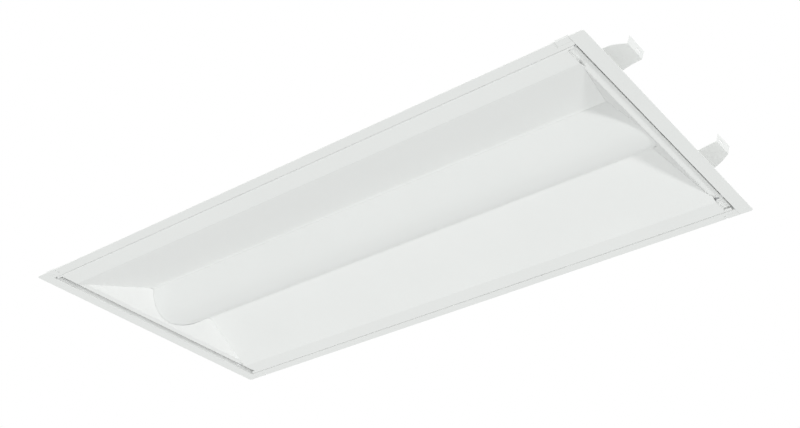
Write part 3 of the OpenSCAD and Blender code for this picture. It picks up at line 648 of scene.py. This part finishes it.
def new_round(name: str, radius: float, low: float, high: float, sides: int) -> Piece:
    """Starts a piece from a cylinder on the Z axis.

    Args:
        name: The piece's name.
        radius: The cylinder's radius.
        low: Its lowest Z.
        high: Its highest Z.
        sides: Number of sides.

    Returns:
        The new object, with its place in its mesh.
    """
    clear_selection()
    bpy.ops.mesh.primitive_cylinder_add(
        vertices=sides, radius=radius, depth=high - low, location=(0, 0, (low + high) / 2))
    piece = bpy.context.active_object
    piece.name = name
    settle(piece)
    return piece


@contextlib.contextmanager
def editing(piece: Piece, mode: str = "FACE") -> Iterator[None]:
    """Enters edit mode on a piece with nothing selected, and leaves it afterwards.

    Args:
        piece: The piece to edit.
        mode: What is selected: VERT, EDGE or FACE.

    Yields:
        Nothing, while the piece is in edit mode.
    """
    activate(piece)
    bpy.ops.object.mode_set(mode="EDIT")
    bpy.ops.mesh.select_mode(type=mode)
    bpy.ops.mesh.select_all(action="DESELECT")
    yield
    bpy.ops.object.mode_set(mode="OBJECT")


def pick(test: Callable[[bmesh.types.BMFace], bool]) -> None:
    """Selects, in edit mode, only the faces that a test names.

    Args:
        test: Gives True for a face to select.
    """
    bpy.ops.mesh.select_all(action="DESELECT")
    mesh = bpy.context.active_object.data
    work = bmesh.from_edit_mesh(mesh)
    for face in work.faces:
        if test(face):
            face.select_set(True)
    work.select_flush_mode()
    bmesh.update_edit_mesh(mesh)


def facing(direction: Point) -> Callable[[bmesh.types.BMFace], bool]:
    """Makes a test for faces that look in a direction."""
    way = Vector(direction).normalized()
    return lambda face: face.normal.dot(way) > SAME_WAY


def extrude(by: Point) -> None:
    """Extrudes the selected faces or edges by a distance."""
    bpy.ops.mesh.extrude_region_move(TRANSFORM_OT_translate={"value": by})


def swell(factor: Point, centre: Point) -> None:
    """Scales what is selected about a centre."""
    bpy.ops.transform.resize(value=factor, center_override=centre)


def modify(piece: Piece, kind: str, **settings: object) -> None:
    """Adds a modifier and applies it.

    Args:
        piece: The piece to change.
        kind: The modifier's type.
        **settings: The modifier's settings.
    """
    activate(piece)
    modifier = piece.modifiers.new(kind.lower(), kind)
    for name, value in settings.items():
        setattr(modifier, name, value)
    bpy.ops.object.modifier_apply(modifier=modifier.name)


def cut_out(piece: Piece, tool: Piece) -> None:
    """Cuts a tool's shape out of a piece and removes the tool."""
    modify(piece, "BOOLEAN", operation="DIFFERENCE", object=tool, solver="EXACT")
    bpy.data.objects.remove(tool)


def soften(piece: Piece, width: float, segments: int, angle: float = 35.0) -> None:
    """Rounds a piece's sharp edges and shades it smooth.

    Args:
        piece: The piece to finish.
        width: Width of the rounding.
        segments: Number of faces across it.
        angle: Edges that turn by more than this many degrees are rounded.
    """
    modify(piece, "BEVEL", width=width, segments=segments, limit_method="ANGLE",
           angle_limit=math.radians(angle), harden_normals=False)
    smooth(piece, SOFT_ANGLE)


def smooth(piece: Piece, angle: float) -> None:
    """Shades a piece smooth except at edges sharper than an angle in degrees."""
    activate(piece)
    bpy.ops.object.shade_smooth_by_angle(angle=math.radians(angle))


def face_out(piece: Piece) -> None:
    """Merges doubles and turns every face outwards.

    Args:
        piece: The piece to mend.
    """
    with editing(piece, "VERT"):
        bpy.ops.mesh.select_all(action="SELECT")
        bpy.ops.mesh.remove_doubles(threshold=MERGE_WITHIN)
        bpy.ops.mesh.normals_make_consistent(inside=False)


def turned(name: str, outline: Sequence[tuple[float, float]], sides: int) -> Piece:
    """Turns a closed piece on the Z axis, one extrusion for each step of its outline.

    Args:
        name: The piece's name.
        outline: Radius and height of each step, from the bottom up.
        sides: Number of sides.

    Returns:
        The new piece.
    """
    clear_selection()
    radius, level = outline[0]
    bpy.ops.mesh.primitive_circle_add(
        vertices=sides, radius=radius, fill_type="NGON", location=(0, 0, level))
    piece = bpy.context.active_object
    piece.name = name
    settle(piece)
    with editing(piece):
        bpy.ops.mesh.select_all(action="SELECT")
        for wide, height in outline[1:]:
            extrude((0, 0, height - level))
            swell((wide / radius, wide / radius, 1.0), (0, 0, height))
            radius, level = wide, height
    face_out(piece)
    return piece


def scaled(steps: Steps, radius: float, height: float, base: float = 0.0) -> list[tuple]:
    """Turns shares of a radius, and of a height above a base, into metres."""
    return [(radius * wide, base + height * rise) for wide, rise in steps]


def joined(piece: Piece, other: Piece) -> None:
    """Melts a second piece into the first and removes it."""
    modify(piece, "BOOLEAN", operation="UNION", object=other, solver="EXACT")
    bpy.data.objects.remove(other)


def spread(model: Piece, places: Sequence[Matrix], name: str) -> Piece:
    """Copies a model to several places and joins the copies into one piece.

    Args:
        model: The model, built round the origin. It is removed.
        places: One matrix for each copy.
        name: The joined piece's name.

    Returns:
        The joined piece, with its place in its mesh.
    """
    copies = []
    for place in places:
        copy = model.copy()
        copy.data = model.data.copy()
        copy.data.transform(place)
        bpy.context.collection.objects.link(copy)
        copies.append(copy)
    bpy.data.objects.remove(model)
    return merged(copies, name)


def merged(pieces: Sequence[Piece], name: str) -> Piece:
    """Joins pieces into one object under a name.

    Args:
        pieces: The objects to join.
        name: The joined object's name.

    Returns:
        The joined object.
    """
    clear_selection()
    for piece in pieces:
        piece.select_set(True)
    bpy.context.view_layer.objects.active = pieces[0]
    if len(pieces) > 1:
        bpy.ops.object.join()
    piece = bpy.context.active_object
    piece.name = name
    return piece


def solids(node: str) -> list[tuple[Vector, Vector]]:
    """Finds the separate solids of a CAD node.

    Args:
        node: The node's name.

    Returns:
        The lowest and highest corner of each solid, in order along X, then Y.
    """
    work = bmesh.new()
    work.from_mesh(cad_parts[node].data)
    bmesh.ops.remove_doubles(work, verts=work.verts, dist=MERGE_WITHIN)
    left = set(work.verts)
    boxes = []
    while left:
        points, border = [], [left.pop()]
        while border:
            vert = border.pop()
            points.append(vert.co)
            near = {link.other_vert(vert) for link in vert.link_edges} & left
            left -= near
            border += near
        low, high = (Vector([end(p[i] for p in points) for i in range(3)]) for end in (min, max))
        boxes.append((low, high))
    work.free()
    return sorted(boxes, key=lambda box: (round(box[0].x, 5), round(box[0].y, 5)))


def upright(direction: Point, at: Point | Vector) -> Matrix:
    """Gives the matrix that turns +Z to a direction and moves it to a point."""
    turn = Vector(direction).to_track_quat("Z", "Y").to_matrix().to_4x4()
    return Matrix.Translation(Vector(at)) @ turn


# Sub-assemblies


@dataclass
class SubAssembly:
    """A group of pieces that ride on one body.

    Subclasses add their sizes as fields. The finishes name the CAD nodes that are carried over.
    """

    finishes: ClassVar[Finished] = {}
    materials: dict[Slot, bpy.types.Material]
    body: str = "housing"

    def build(self) -> None:
        """Models this group's own pieces. A group of CAD pieces alone models none."""

    def dress(self) -> None:
        """Gives each carried-over CAD node its finish."""
        for slot, names in self.finishes.items():
            for name in names:
                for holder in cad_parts[name].material_slots:
                    holder.material = self.materials[slot]
                LOG.info("dressed %s in %s", name, slot.value)

    def place(self, piece: Piece, slot: Slot, *nodes: str) -> Piece:
        """Finishes a modelled piece: material, body and the CAD nodes that it stands for.

        Args:
            piece: The modelled piece.
            slot: Its finish.
            *nodes: CAD nodes that it replaces.

        Returns:
            The piece.
        """
        if not piece.data.materials:
            piece.data.materials.append(self.materials[slot])
        if nodes:
            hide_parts(*nodes)
        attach(piece, self.body)
        LOG.info("modelled %s: %d faces on %s", piece.name, len(piece.data.polygons), self.body)
        return piece


@dataclass
class Housing(SubAssembly):
    """Pan and end caps above the ceiling."""

    finishes: ClassVar[Finished] = {
        Slot.WHITE_PAINT: ("housing_pan", "end_cap_right", "end_cap_left"),
    }


@dataclass(frozen=True)
class Rivet:
    """A domed rivet: head outside, and a flush or a formed tail inside."""

    shank: float
    head: float
    head_t: float
    tail_head: float = 0.0
    tail_t: float = 0.0
    tail_steps: Steps = ((0.6, 0.0), (0.9, 0.2), (1.0, 0.6), (1.0, 1.0))
    tip: float = 0.2 * MM
    tip_share: float = 0.8
    dome_turns: tuple[float, ...] = (15.0, 35.0, 55.0, 75.0)
    crown: float = 0.12
    sides: int = 18

    def model(self, name: str, length: float) -> Piece:
        """Turns one rivet, tail at the origin and head up.

        Args:
            name: The rivet's name.
            length: Its length over all.

        Returns:
            The rivet.
        """
        under = length - self.head_t
        outline = [(self.tip_share * self.shank, 0.0), (self.shank, self.tip)]
        if self.tail_t:
            outline = scaled(self.tail_steps, self.tail_head, self.tail_t)
            outline.append((self.shank, self.tail_t))
        outline += [(self.shank, under), (self.head, under)]
        for turn in self.dome_turns:
            angle = math.radians(turn)
            outline.append((self.head * math.cos(angle), under + self.head_t * math.sin(angle)))
        outline.append((self.crown * self.head, length))
        piece = turned(name, outline, self.sides)
        smooth(piece, RIVET_ANGLE)
        return piece

    def row(self, name: str) -> Piece:
        """Puts a rivet where each solid of a CAD node is.

        Args:
            name: The node's name, which the joined piece also gets.

        Returns:
            All the rivets as one piece.
        """
        by_length: dict[float, list[Matrix]] = {}
        for low, high in solids(name):
            size, middle = high - low, (low + high) / 2
            axis = min(range(3), key=lambda i: size[i])
            out = Vector((0.0, 0.0, 0.0))
            out[axis] = -1.0 if axis < 2 and middle[axis] < 0 else 1.0
            tail = middle - out * size[axis] / 2
            by_length.setdefault(round(size[axis], 5), []).append(upright(out, tail))
        rows = [
            spread(self.model(name, length), places, name) for length, places in by_length.items()
        ]
        return merged(rows, name)


@dataclass(frozen=True)
class Screw:
    """A cross-head screw. Its head's steps are shares of the head's radius and height."""

    shank: float
    head: float
    head_t: float
    head_steps: Steps
    cross_reach: float
    cross_w: float
    cross_depth: float
    sides: int
    tip: float = 0.8 * MM
    tip_share: float = 0.6
    neck: float = 0.9
    crown: float = 0.3
    threads: int = 0
    thread_start: float = 0.6 * MM
    thread_ends: float = 1.4 * MM
    thread_rise: float = 0.4 * MM
    thread_core: float = 0.84

    def stem(self, under: float) -> list[tuple[float, float]]:
        """Draws the shank, plain or threaded.

        Args:
            under: Height of the head's underside.

        Returns:
            Radius and height of each step.
        """
        if not self.threads:
            return [(self.shank, self.tip), (self.shank, under)]
        steps = []
        for turn in range(self.threads):
            start = self.thread_start + turn * (under - self.thread_ends) / self.threads
            crest = (self.shank, start + self.thread_rise)
            steps += [(self.thread_core * self.shank, start), crest]
        return [*steps, (self.neck * self.shank, under)]

    def model(self, name: str, length: float) -> Piece:
        """Turns one screw, tip at the origin and head up, and cuts its cross.

        Args:
            name: The screw's name.
            length: Its length over all.

        Returns:
            The screw.
        """
        under = length - self.head_t
        start = (self.tip_share * self.shank, 0.0)
        outline = [start, *self.stem(under), (self.head, under)]
        outline += scaled(self.head_steps, self.head, self.head_t, under)
        outline.append((self.crown * self.head, length))
        screw = turned(name, outline, self.sides)
        half, depth = self.cross_w / 2, self.cross_depth
        for x, y in ((self.cross_reach, half), (half, self.cross_reach)):
            tool = new_block("cross_tool", (-x, -y, length - depth), (x, y, length + depth))
            cut_out(screw, tool)
        smooth(screw, SCREW_ANGLE)
        return screw

    def set_in(self, name: str, up: bool) -> Piece:
        """Puts a screw where each solid of a CAD node is.

        Args:
            name: The node's name, which the joined piece also gets.
            up: Whether the heads are at the top.

        Returns:
            All the screws as one piece.
        """
        boxes = solids(name)
        screw = self.model(name, boxes[0][1].z - boxes[0][0].z)
        places = []
        for low, high in boxes:
            x, y = (low.x + high.x) / 2, (low.y + high.y) / 2
            if up:
                places.append(Matrix.Translation((x, y, low.z)))
            else:
                places.append(upright((0, 0, -1), (x, y, high.z)))
        return spread(screw, places, name)


@dataclass
class TrimFrame(SubAssembly):
    """Flange profiles, their corner brackets and the rivets that hold the housing."""

    finishes: ClassVar[Finished] = {
        Slot.WHITE_PAINT: (
            "trim_side_near", "trim_side_far", "trim_end_right", "trim_end_left",
            "corner_bracket_right_near", "corner_bracket_right_far", "corner_bracket_left_near",
            "corner_bracket_left_far",
        ),
        Slot.ZINC: ("hinge_pins",),
    }
    rivet: Rivet = Rivet(shank=1.6 * MM, head=2.88 * MM, head_t=0.9 * MM)

    def build(self) -> None:
        """Models the domed rivets along the trim."""
        self.place(self.rivet.row("trim_rivets"), Slot.ZINC, "trim_rivets")


@dataclass
class LightEngine(SubAssembly):
    """Tray, boards and what stands on them."""

    finishes: ClassVar[Finished] = {
        Slot.ALUMINIUM: ("led_tray",),
        Slot.BOARD_WHITE: ("led_board_1", "led_board_2", "led_board_3", "led_board_4"),
        Slot.WHITE_PLASTIC: ("board_connectors",),
        Slot.BLACK_RUBBER: ("grommet",),
    }
    wall: float = 0.45 * MM
    well: float = 0.3 * MM
    screw: Screw = Screw(
        shank=1.5 * MM, head=3.0 * MM, head_t=1.6 * MM,
        head_steps=((1.0, 0.3), (0.9, 0.65), (0.62, 0.92)),
        cross_reach=1.7 * MM, cross_w=0.7 * MM, cross_depth=1.0 * MM, sides=20,
    )

    def build(self) -> None:
        """Models the packages and the screws that hold the boards."""
        self.build_packages()
        self.build_screws()

    def build_packages(self) -> None:
        """Models one package, a white cup filled with phosphor, and copies it to every place."""
        boxes = solids("led_packages")
        half = (boxes[0][1] - boxes[0][0]) / 2
        cup = new_block("led_packages", tuple(-half), tuple(half))
        cup.data.materials.append(self.materials[Slot.PHOSPHOR])
        cup.data.materials.append(self.materials[Slot.WHITE_PLASTIC])
        with editing(cup):
            bpy.ops.mesh.select_all(action="SELECT")
            cup.active_material_index = 1
            bpy.ops.object.material_slot_assign()
            pick(facing((0, 0, -1)))
            bpy.ops.mesh.inset(thickness=self.wall)
            extrude((0, 0, self.well))
            cup.active_material_index = 0
            bpy.ops.object.material_slot_assign()
        places = [Matrix.Translation((low + high) / 2) for low, high in boxes]
        self.place(spread(cup, places, "led_packages"), Slot.PHOSPHOR, "led_packages")

    def build_screws(self) -> None:
        """Models a pan-head screw, head down, and copies it to every hole of the boards."""
        self.place(self.screw.set_in("board_screws", up=False), Slot.ZINC, "board_screws")


@dataclass
class ControlGear(SubAssembly):
    """Driver, its cover, the supply terminals and the cable gland."""

    finishes: ClassVar[Finished] = {
        Slot.GALVANISED: ("driver",),
        Slot.WHITE_PLASTIC: ("driver_ends", "terminal_block"),
        Slot.ZINC: ("terminal_screws",),
        Slot.BRASS: ("earth_stud",),
        Slot.GREY_PLASTIC: ("gland_body", "gland_locknut"),
    }
    cover_t: float = 0.8 * MM
    cover_bend: float = 2.4 * MM
    bend_faces: int = 4
    foot_w: float = 14.0 * MM
    screw_inset: float = 40.0 * MM
    screw_hole: float = 1.85 * MM
    gland_hole: float = 8.05 * MM
    gland_at: tuple[float, float] = (20.0 * MM, 77.0 * MM)
    hole_reach: float = 5.0 * MM
    knockout_y: tuple[float, ...] = (-30.0 * MM, 0.0, 30.0 * MM)
    knockout_r: float = 10.4 * MM
    knockout_core: float = 9.8 * MM
    knockout_depth: float = 0.25 * MM
    screw: Screw = Screw(
        shank=1.8 * MM, head=3.4 * MM, head_t=2.2 * MM,
        head_steps=((1.0, 0.25), (0.92, 0.6), (0.66, 0.9)),
        cross_reach=2.0 * MM, cross_w=0.8 * MM, cross_depth=1.2 * MM, sides=24, threads=8,
    )
    nut_bore: float = 5.0 * MM
    nut_thread: float = 8.85 * MM
    nut_thread_l: float = 8.2 * MM
    nut_chamfer: float = 0.5 * MM
    nut_relief: float = 0.2 * MM
    nut_dome: Steps = ((1.0, 0.4), (1.0, 0.62), (0.93, 0.76), (0.82, 0.9), (0.68, 1.0))
    hole_sides: int = 20
    round_sides: int = 40
    past: float = 1.0 * MM

    def build(self) -> None:
        """Models the cover, its screws and the gland's dome nut."""
        self.build_cover()
        self.build_screws()
        self.build_nut()

    def build_cover(self) -> None:
        """Folds the cover: rounded bends, two feet, screw holes, gland hole and knock-outs."""
        low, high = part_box("driver_cover")
        wall_y = high[1] - self.foot_w
        below = self.hole_reach
        bottom = low[2] - below
        cover = new_block("driver_cover", (low[0], -wall_y, bottom), (high[0], wall_y, high[2]))
        bend = {"segments": self.bend_faces, "limit_method": "ANGLE"}
        modify(cover, "BEVEL", width=self.cover_bend, **bend)
        with editing(cover):
            bpy.ops.mesh.select_all(action="SELECT")
            bpy.ops.mesh.bisect(
                plane_co=(0, 0, low[2]), plane_no=(0, 0, 1), use_fill=True, clear_inner=True)
        foot_top = low[2] + self.cover_t
        joined(cover, new_block("feet", tuple(low), (high[0], high[1], foot_top)))
        t = self.cover_t
        hollow = new_block("hollow", (low[0] + t, -wall_y + t, low[2] - 2 * below),
                           (high[0] - t, wall_y - t, high[2] - t))
        modify(hollow, "BEVEL", width=self.cover_bend - t, **bend)
        cut_out(cover, hollow)
        self.cut_holes(cover, low, high)
        smooth(cover, SHEET_ANGLE)
        self.place(cover, Slot.WHITE_PAINT, "driver_cover")

    def cut_holes(self, cover: Piece, low: Sequence[float], high: Sequence[float]) -> None:
        """Cuts the cover's screw holes and gland hole and presses its knock-out rings.

        Args:
            cover: The cover.
            low: The lowest corner of its box.
            high: The highest corner of its box.
        """
        reach = self.hole_reach
        screw_x, screw_y = high[0] - self.screw_inset, high[1] - self.foot_w + self.foot_w / 2
        for x in (-screw_x, screw_x):
            for y in (-screw_y, screw_y):
                ends = (low[2] - reach, low[2] + reach)
                hole = new_round("hole", self.screw_hole, *ends, self.hole_sides)
                hole.data.transform(Matrix.Translation((x, y, 0.0)))
                cut_out(cover, hole)
        gland = new_round("hole", self.gland_hole, -reach, reach, self.round_sides)
        gland.data.transform(upright((1, 0, 0), (high[0], *self.gland_at)))
        cut_out(cover, gland)
        for y in self.knockout_y:
            sides, past = self.round_sides, self.past
            ring = new_round("ring", self.knockout_r, -self.knockout_depth, past, sides)
            cut_out(ring, new_round("core", self.knockout_core, -past, 2 * past, sides))
            ring.data.transform(upright((-1, 0, 0), (low[0], y, self.gland_at[1])))
            cut_out(cover, ring)

    def build_screws(self) -> None:
        """Models a threaded cross-head screw and copies it to the cover's holes."""
        self.place(self.screw.set_in("cover_screws", up=True), Slot.ZINC, "cover_screws")

    def build_nut(self) -> None:
        """Models the gland's nut: a hexagon with a dome over the cord's seal."""
        low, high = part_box("gland_nut")
        corner, length = (high[2] - low[2]) / 2, high[0] - low[0]
        outline = [(0.95 * corner, 0.0), (corner, self.nut_chamfer), (corner, 0.5 * length),
                   (0.9 * corner, 0.56 * length)]
        hexagon = turned("gland_nut", outline, sides=6)
        flat = corner * math.cos(math.radians(30)) - self.nut_relief
        joined(hexagon, turned("dome", scaled(self.nut_dome, flat, length), sides=36))
        for radius, end in ((self.nut_bore, 2 * length), (self.nut_thread, self.nut_thread_l)):
            cut_out(hexagon, new_round("bore", radius, -length, end, self.round_sides))
        smooth(hexagon, SHEET_ANGLE)
        middle = (low[0], (low[1] + high[1]) / 2, (low[2] + high[2]) / 2)
        turn = Matrix.Rotation(math.radians(90), 4, "Y")
        hexagon.data.transform(Matrix.Translation(middle) @ turn)
        self.place(hexagon, Slot.GREY_PLASTIC, "gland_nut")


@dataclass
class FixingArms(SubAssembly):
    """Brackets, pins and the four swinging arms that clamp the ceiling board."""

    finishes: ClassVar[Finished] = {
        Slot.WHITE_PAINT: (
            "arm_brackets", "arm_right_near", "arm_right_far", "arm_left_near", "arm_left_far",
        ),
        Slot.ZINC: ("arm_pins",),
    }
    rivet: Rivet = Rivet(
        shank=1.6 * MM, head=2.56 * MM, head_t=0.5 * MM, tail_head=2.56 * MM, tail_t=0.9 * MM
    )

    def build(self) -> None:
        """Models the rivets that hold the arms' brackets."""
        self.place(self.rivet.row("bracket_rivets"), Slot.ZINC, "bracket_rivets")


@dataclass
class Door(SubAssembly):
    """Hinged door: two reflectors, end rails and end plates."""

    finishes: ClassVar[Finished] = {
        Slot.REFLECTOR_PAINT: (
            "reflector_near", "reflector_far", "door_rail_right", "door_rail_left",
            "end_plate_right_near", "end_plate_right_far", "end_plate_left_near",
            "end_plate_left_far",
        ),
        Slot.ZINC: ("lens_clips", "latch_guides", "guide_rivets"),
    }
    body: str = "door"


@dataclass
class LensUnit(SubAssembly):
    """Curved opal lens, its end pieces and its foam seats."""

    finishes: ClassVar[Finished] = {
        Slot.OPAL: ("lens", "lens_ends"),
        Slot.FOAM: ("lens_gaskets",),
    }
    body: str = "door"


@dataclass
class Latches(SubAssembly):
    """The two sliding bolts of the door, each with a finger tab."""

    finger: float = 3.0 * MM
    finger_w: float = 6.0 * MM
    finger_in: float = 2.0 * MM
    bolt_t: float = 1.2 * MM
    rounding: float = 0.35 * MM

    def build(self) -> None:
        """Models each bolt with rounded edges and its bent tab."""
        for side, name in ((1, "latch_right"), (-1, "latch_left")):
            low, high = (Vector(corner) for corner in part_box(name))
            bolt = new_block(name, (low.x, low.y, high.z - self.bolt_t), tuple(high))
            middle, half = (low.y + high.y) / 2, self.finger_w / 2
            inner = low.x if side > 0 else high.x
            ends = (self.finger_in, self.finger_in + self.finger)
            near, far = sorted(inner + side * end for end in ends)
            top = high.z - self.bolt_t / 2
            tab = new_block("tab", (near, middle - half, low.z), (far, middle + half, top))
            joined(bolt, tab)
            soften(bolt, self.rounding, segments=2)
            self.body = name
            self.place(bolt, Slot.ZINC, name)


# Studio


@dataclass(frozen=True)
class Studio:
    """Pale floor far below the light, soft lamps, white surroundings and the camera."""

    floor_z: float = -4.3
    floor_half: float = 90.0
    floor_near: Colour = (0.95, 0.95, 0.95)
    floor_far: Colour = (0.30, 0.30, 0.30)
    floor_glow: float = 0.7
    pale_within: float = 3.5
    dark_beyond: float = 12.0
    surround: float = 1.03
    surround_tint: Colour = (0.985, 1.0, 0.99)
    white: Colour = (1.0, 1.0, 1.0)
    key_travel: Point = (-1.95, 1.37, 1.0)
    key_strength: float = 1.13
    key_angle: float = 6.0
    top_travel: Point = (0.5, 0.7, -1.6)
    top_strength: float = 0.2
    top_angle: float = 12.0
    sensor_mm: float = 36.0
    lens_mm: float = 53.89
    clip: tuple[float, float] = (0.05, 500.0)
    camera_at: Point = (1.17134, -1.48796, -1.11897)
    camera_tilt: Point = (122.0807, -0.03, 37.0073)

    def build(self) -> None:
        """Builds everything round the object."""
        self.build_floor()
        self.build_world()
        self.build_sun("key_lamp", self.key_travel, self.key_strength, self.key_angle)
        self.build_sun("top_lamp", self.top_travel, self.top_strength, self.top_angle)
        self.build_camera()
        bpy.context.scene.view_settings.view_transform = "Standard"

    def build_floor(self) -> None:
        """Lays the floor, pale under the light and darker far out.

        It casts no shadow, since the key lamp shines up from below it.
        """
        clear_selection()
        bpy.ops.mesh.primitive_plane_add(size=2 * self.floor_half, location=(0, 0, self.floor_z))
        floor = bpy.context.active_object
        floor.name = "floor"
        floor.visible_shadow = False
        material = bpy.data.materials.new("floor")
        material.use_nodes = True
        graph = Graph(material.node_tree)
        place = graph.add("ShaderNodeTexCoord").outputs["Object"]
        away = graph.add("ShaderNodeVectorMath", {0: place}, operation="LENGTH").outputs["Value"]
        far = graph.span(away, self.pale_within, self.dark_beyond)
        tone = graph.mix(far, rgba(self.floor_near), rgba(self.floor_far))
        matt = graph.add("ShaderNodeBsdfDiffuse", {"Color": tone})
        glow = graph.add("ShaderNodeEmission", {"Color": rgba(self.white), "Strength": 1.0})
        share = graph.span(far, 0.0, 1.0, self.floor_glow, 1.0)
        seen = graph.math("MULTIPLY", graph.seen_rays(), share)
        both = graph.add("ShaderNodeMixShader", {0: seen, 1: matt.outputs[0], 2: glow.outputs[0]})
        graph.add("ShaderNodeOutputMaterial", {"Surface": both.outputs[0]})
        floor.data.materials.append(material)

    def build_world(self) -> None:
        """Makes surroundings that light evenly and look white."""
        world = bpy.data.worlds.new("surround")
        bpy.context.scene.world = world
        world.use_nodes = True
        graph = Graph(world.node_tree)
        tint = {"Color": rgba(self.surround_tint), "Strength": self.surround}
        light = graph.add("ShaderNodeBackground", tint)
        white = graph.add("ShaderNodeBackground", {"Color": rgba(self.white), "Strength": 1.0})
        inputs = {0: graph.seen_rays(), 1: light.outputs[0], 2: white.outputs[0]}
        both = graph.add("ShaderNodeMixShader", inputs)
        graph.add("ShaderNodeOutputWorld", {"Surface": both.outputs[0]})

    def build_sun(self, name: str, travel: Point, strength: float, angle: float) -> None:
        """Adds a far lamp.

        Args:
            name: The lamp's name.
            travel: The way that its light travels.
            strength: Its strength.
            angle: Its width in degrees, which softens shadows.
        """
        lamp = bpy.data.lights.new(name, "SUN")
        lamp.energy = strength
        lamp.angle = math.radians(angle)
        holder = bpy.data.objects.new(name, lamp)
        holder.rotation_euler = Vector(travel).to_track_quat("-Z", "Y").to_euler()
        bpy.context.scene.collection.objects.link(holder)

    def build_camera(self) -> None:
        """Sets the camera at the photograph's viewing angle."""
        camera = bpy.data.cameras.new("camera")
        camera.sensor_width = self.sensor_mm
        camera.lens = self.lens_mm
        camera.clip_start, camera.clip_end = self.clip
        holder = bpy.data.objects.new("camera", camera)
        holder.location = self.camera_at
        holder.rotation_euler = [math.radians(turn) for turn in self.camera_tilt]
        bpy.context.scene.collection.objects.link(holder)
        bpy.context.scene.camera = holder


def main() -> None:
    """Builds the studio, the finishes and every sub-assembly."""
    logging.basicConfig(level=logging.INFO, format="%(message)s")
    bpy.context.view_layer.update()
    clear_selection()
    Studio().build()
    effects = Effects.build()
    materials = {slot: finish.build(slot.value, effects) for slot, finish in FINISHES.items()}
    parts = [Housing, TrimFrame, LightEngine, ControlGear, FixingArms, Door, LensUnit, Latches]
    for part in parts:
        group: SubAssembly = part(materials)
        group.dress()
        group.build()


if __name__ == "__main__":
    main()
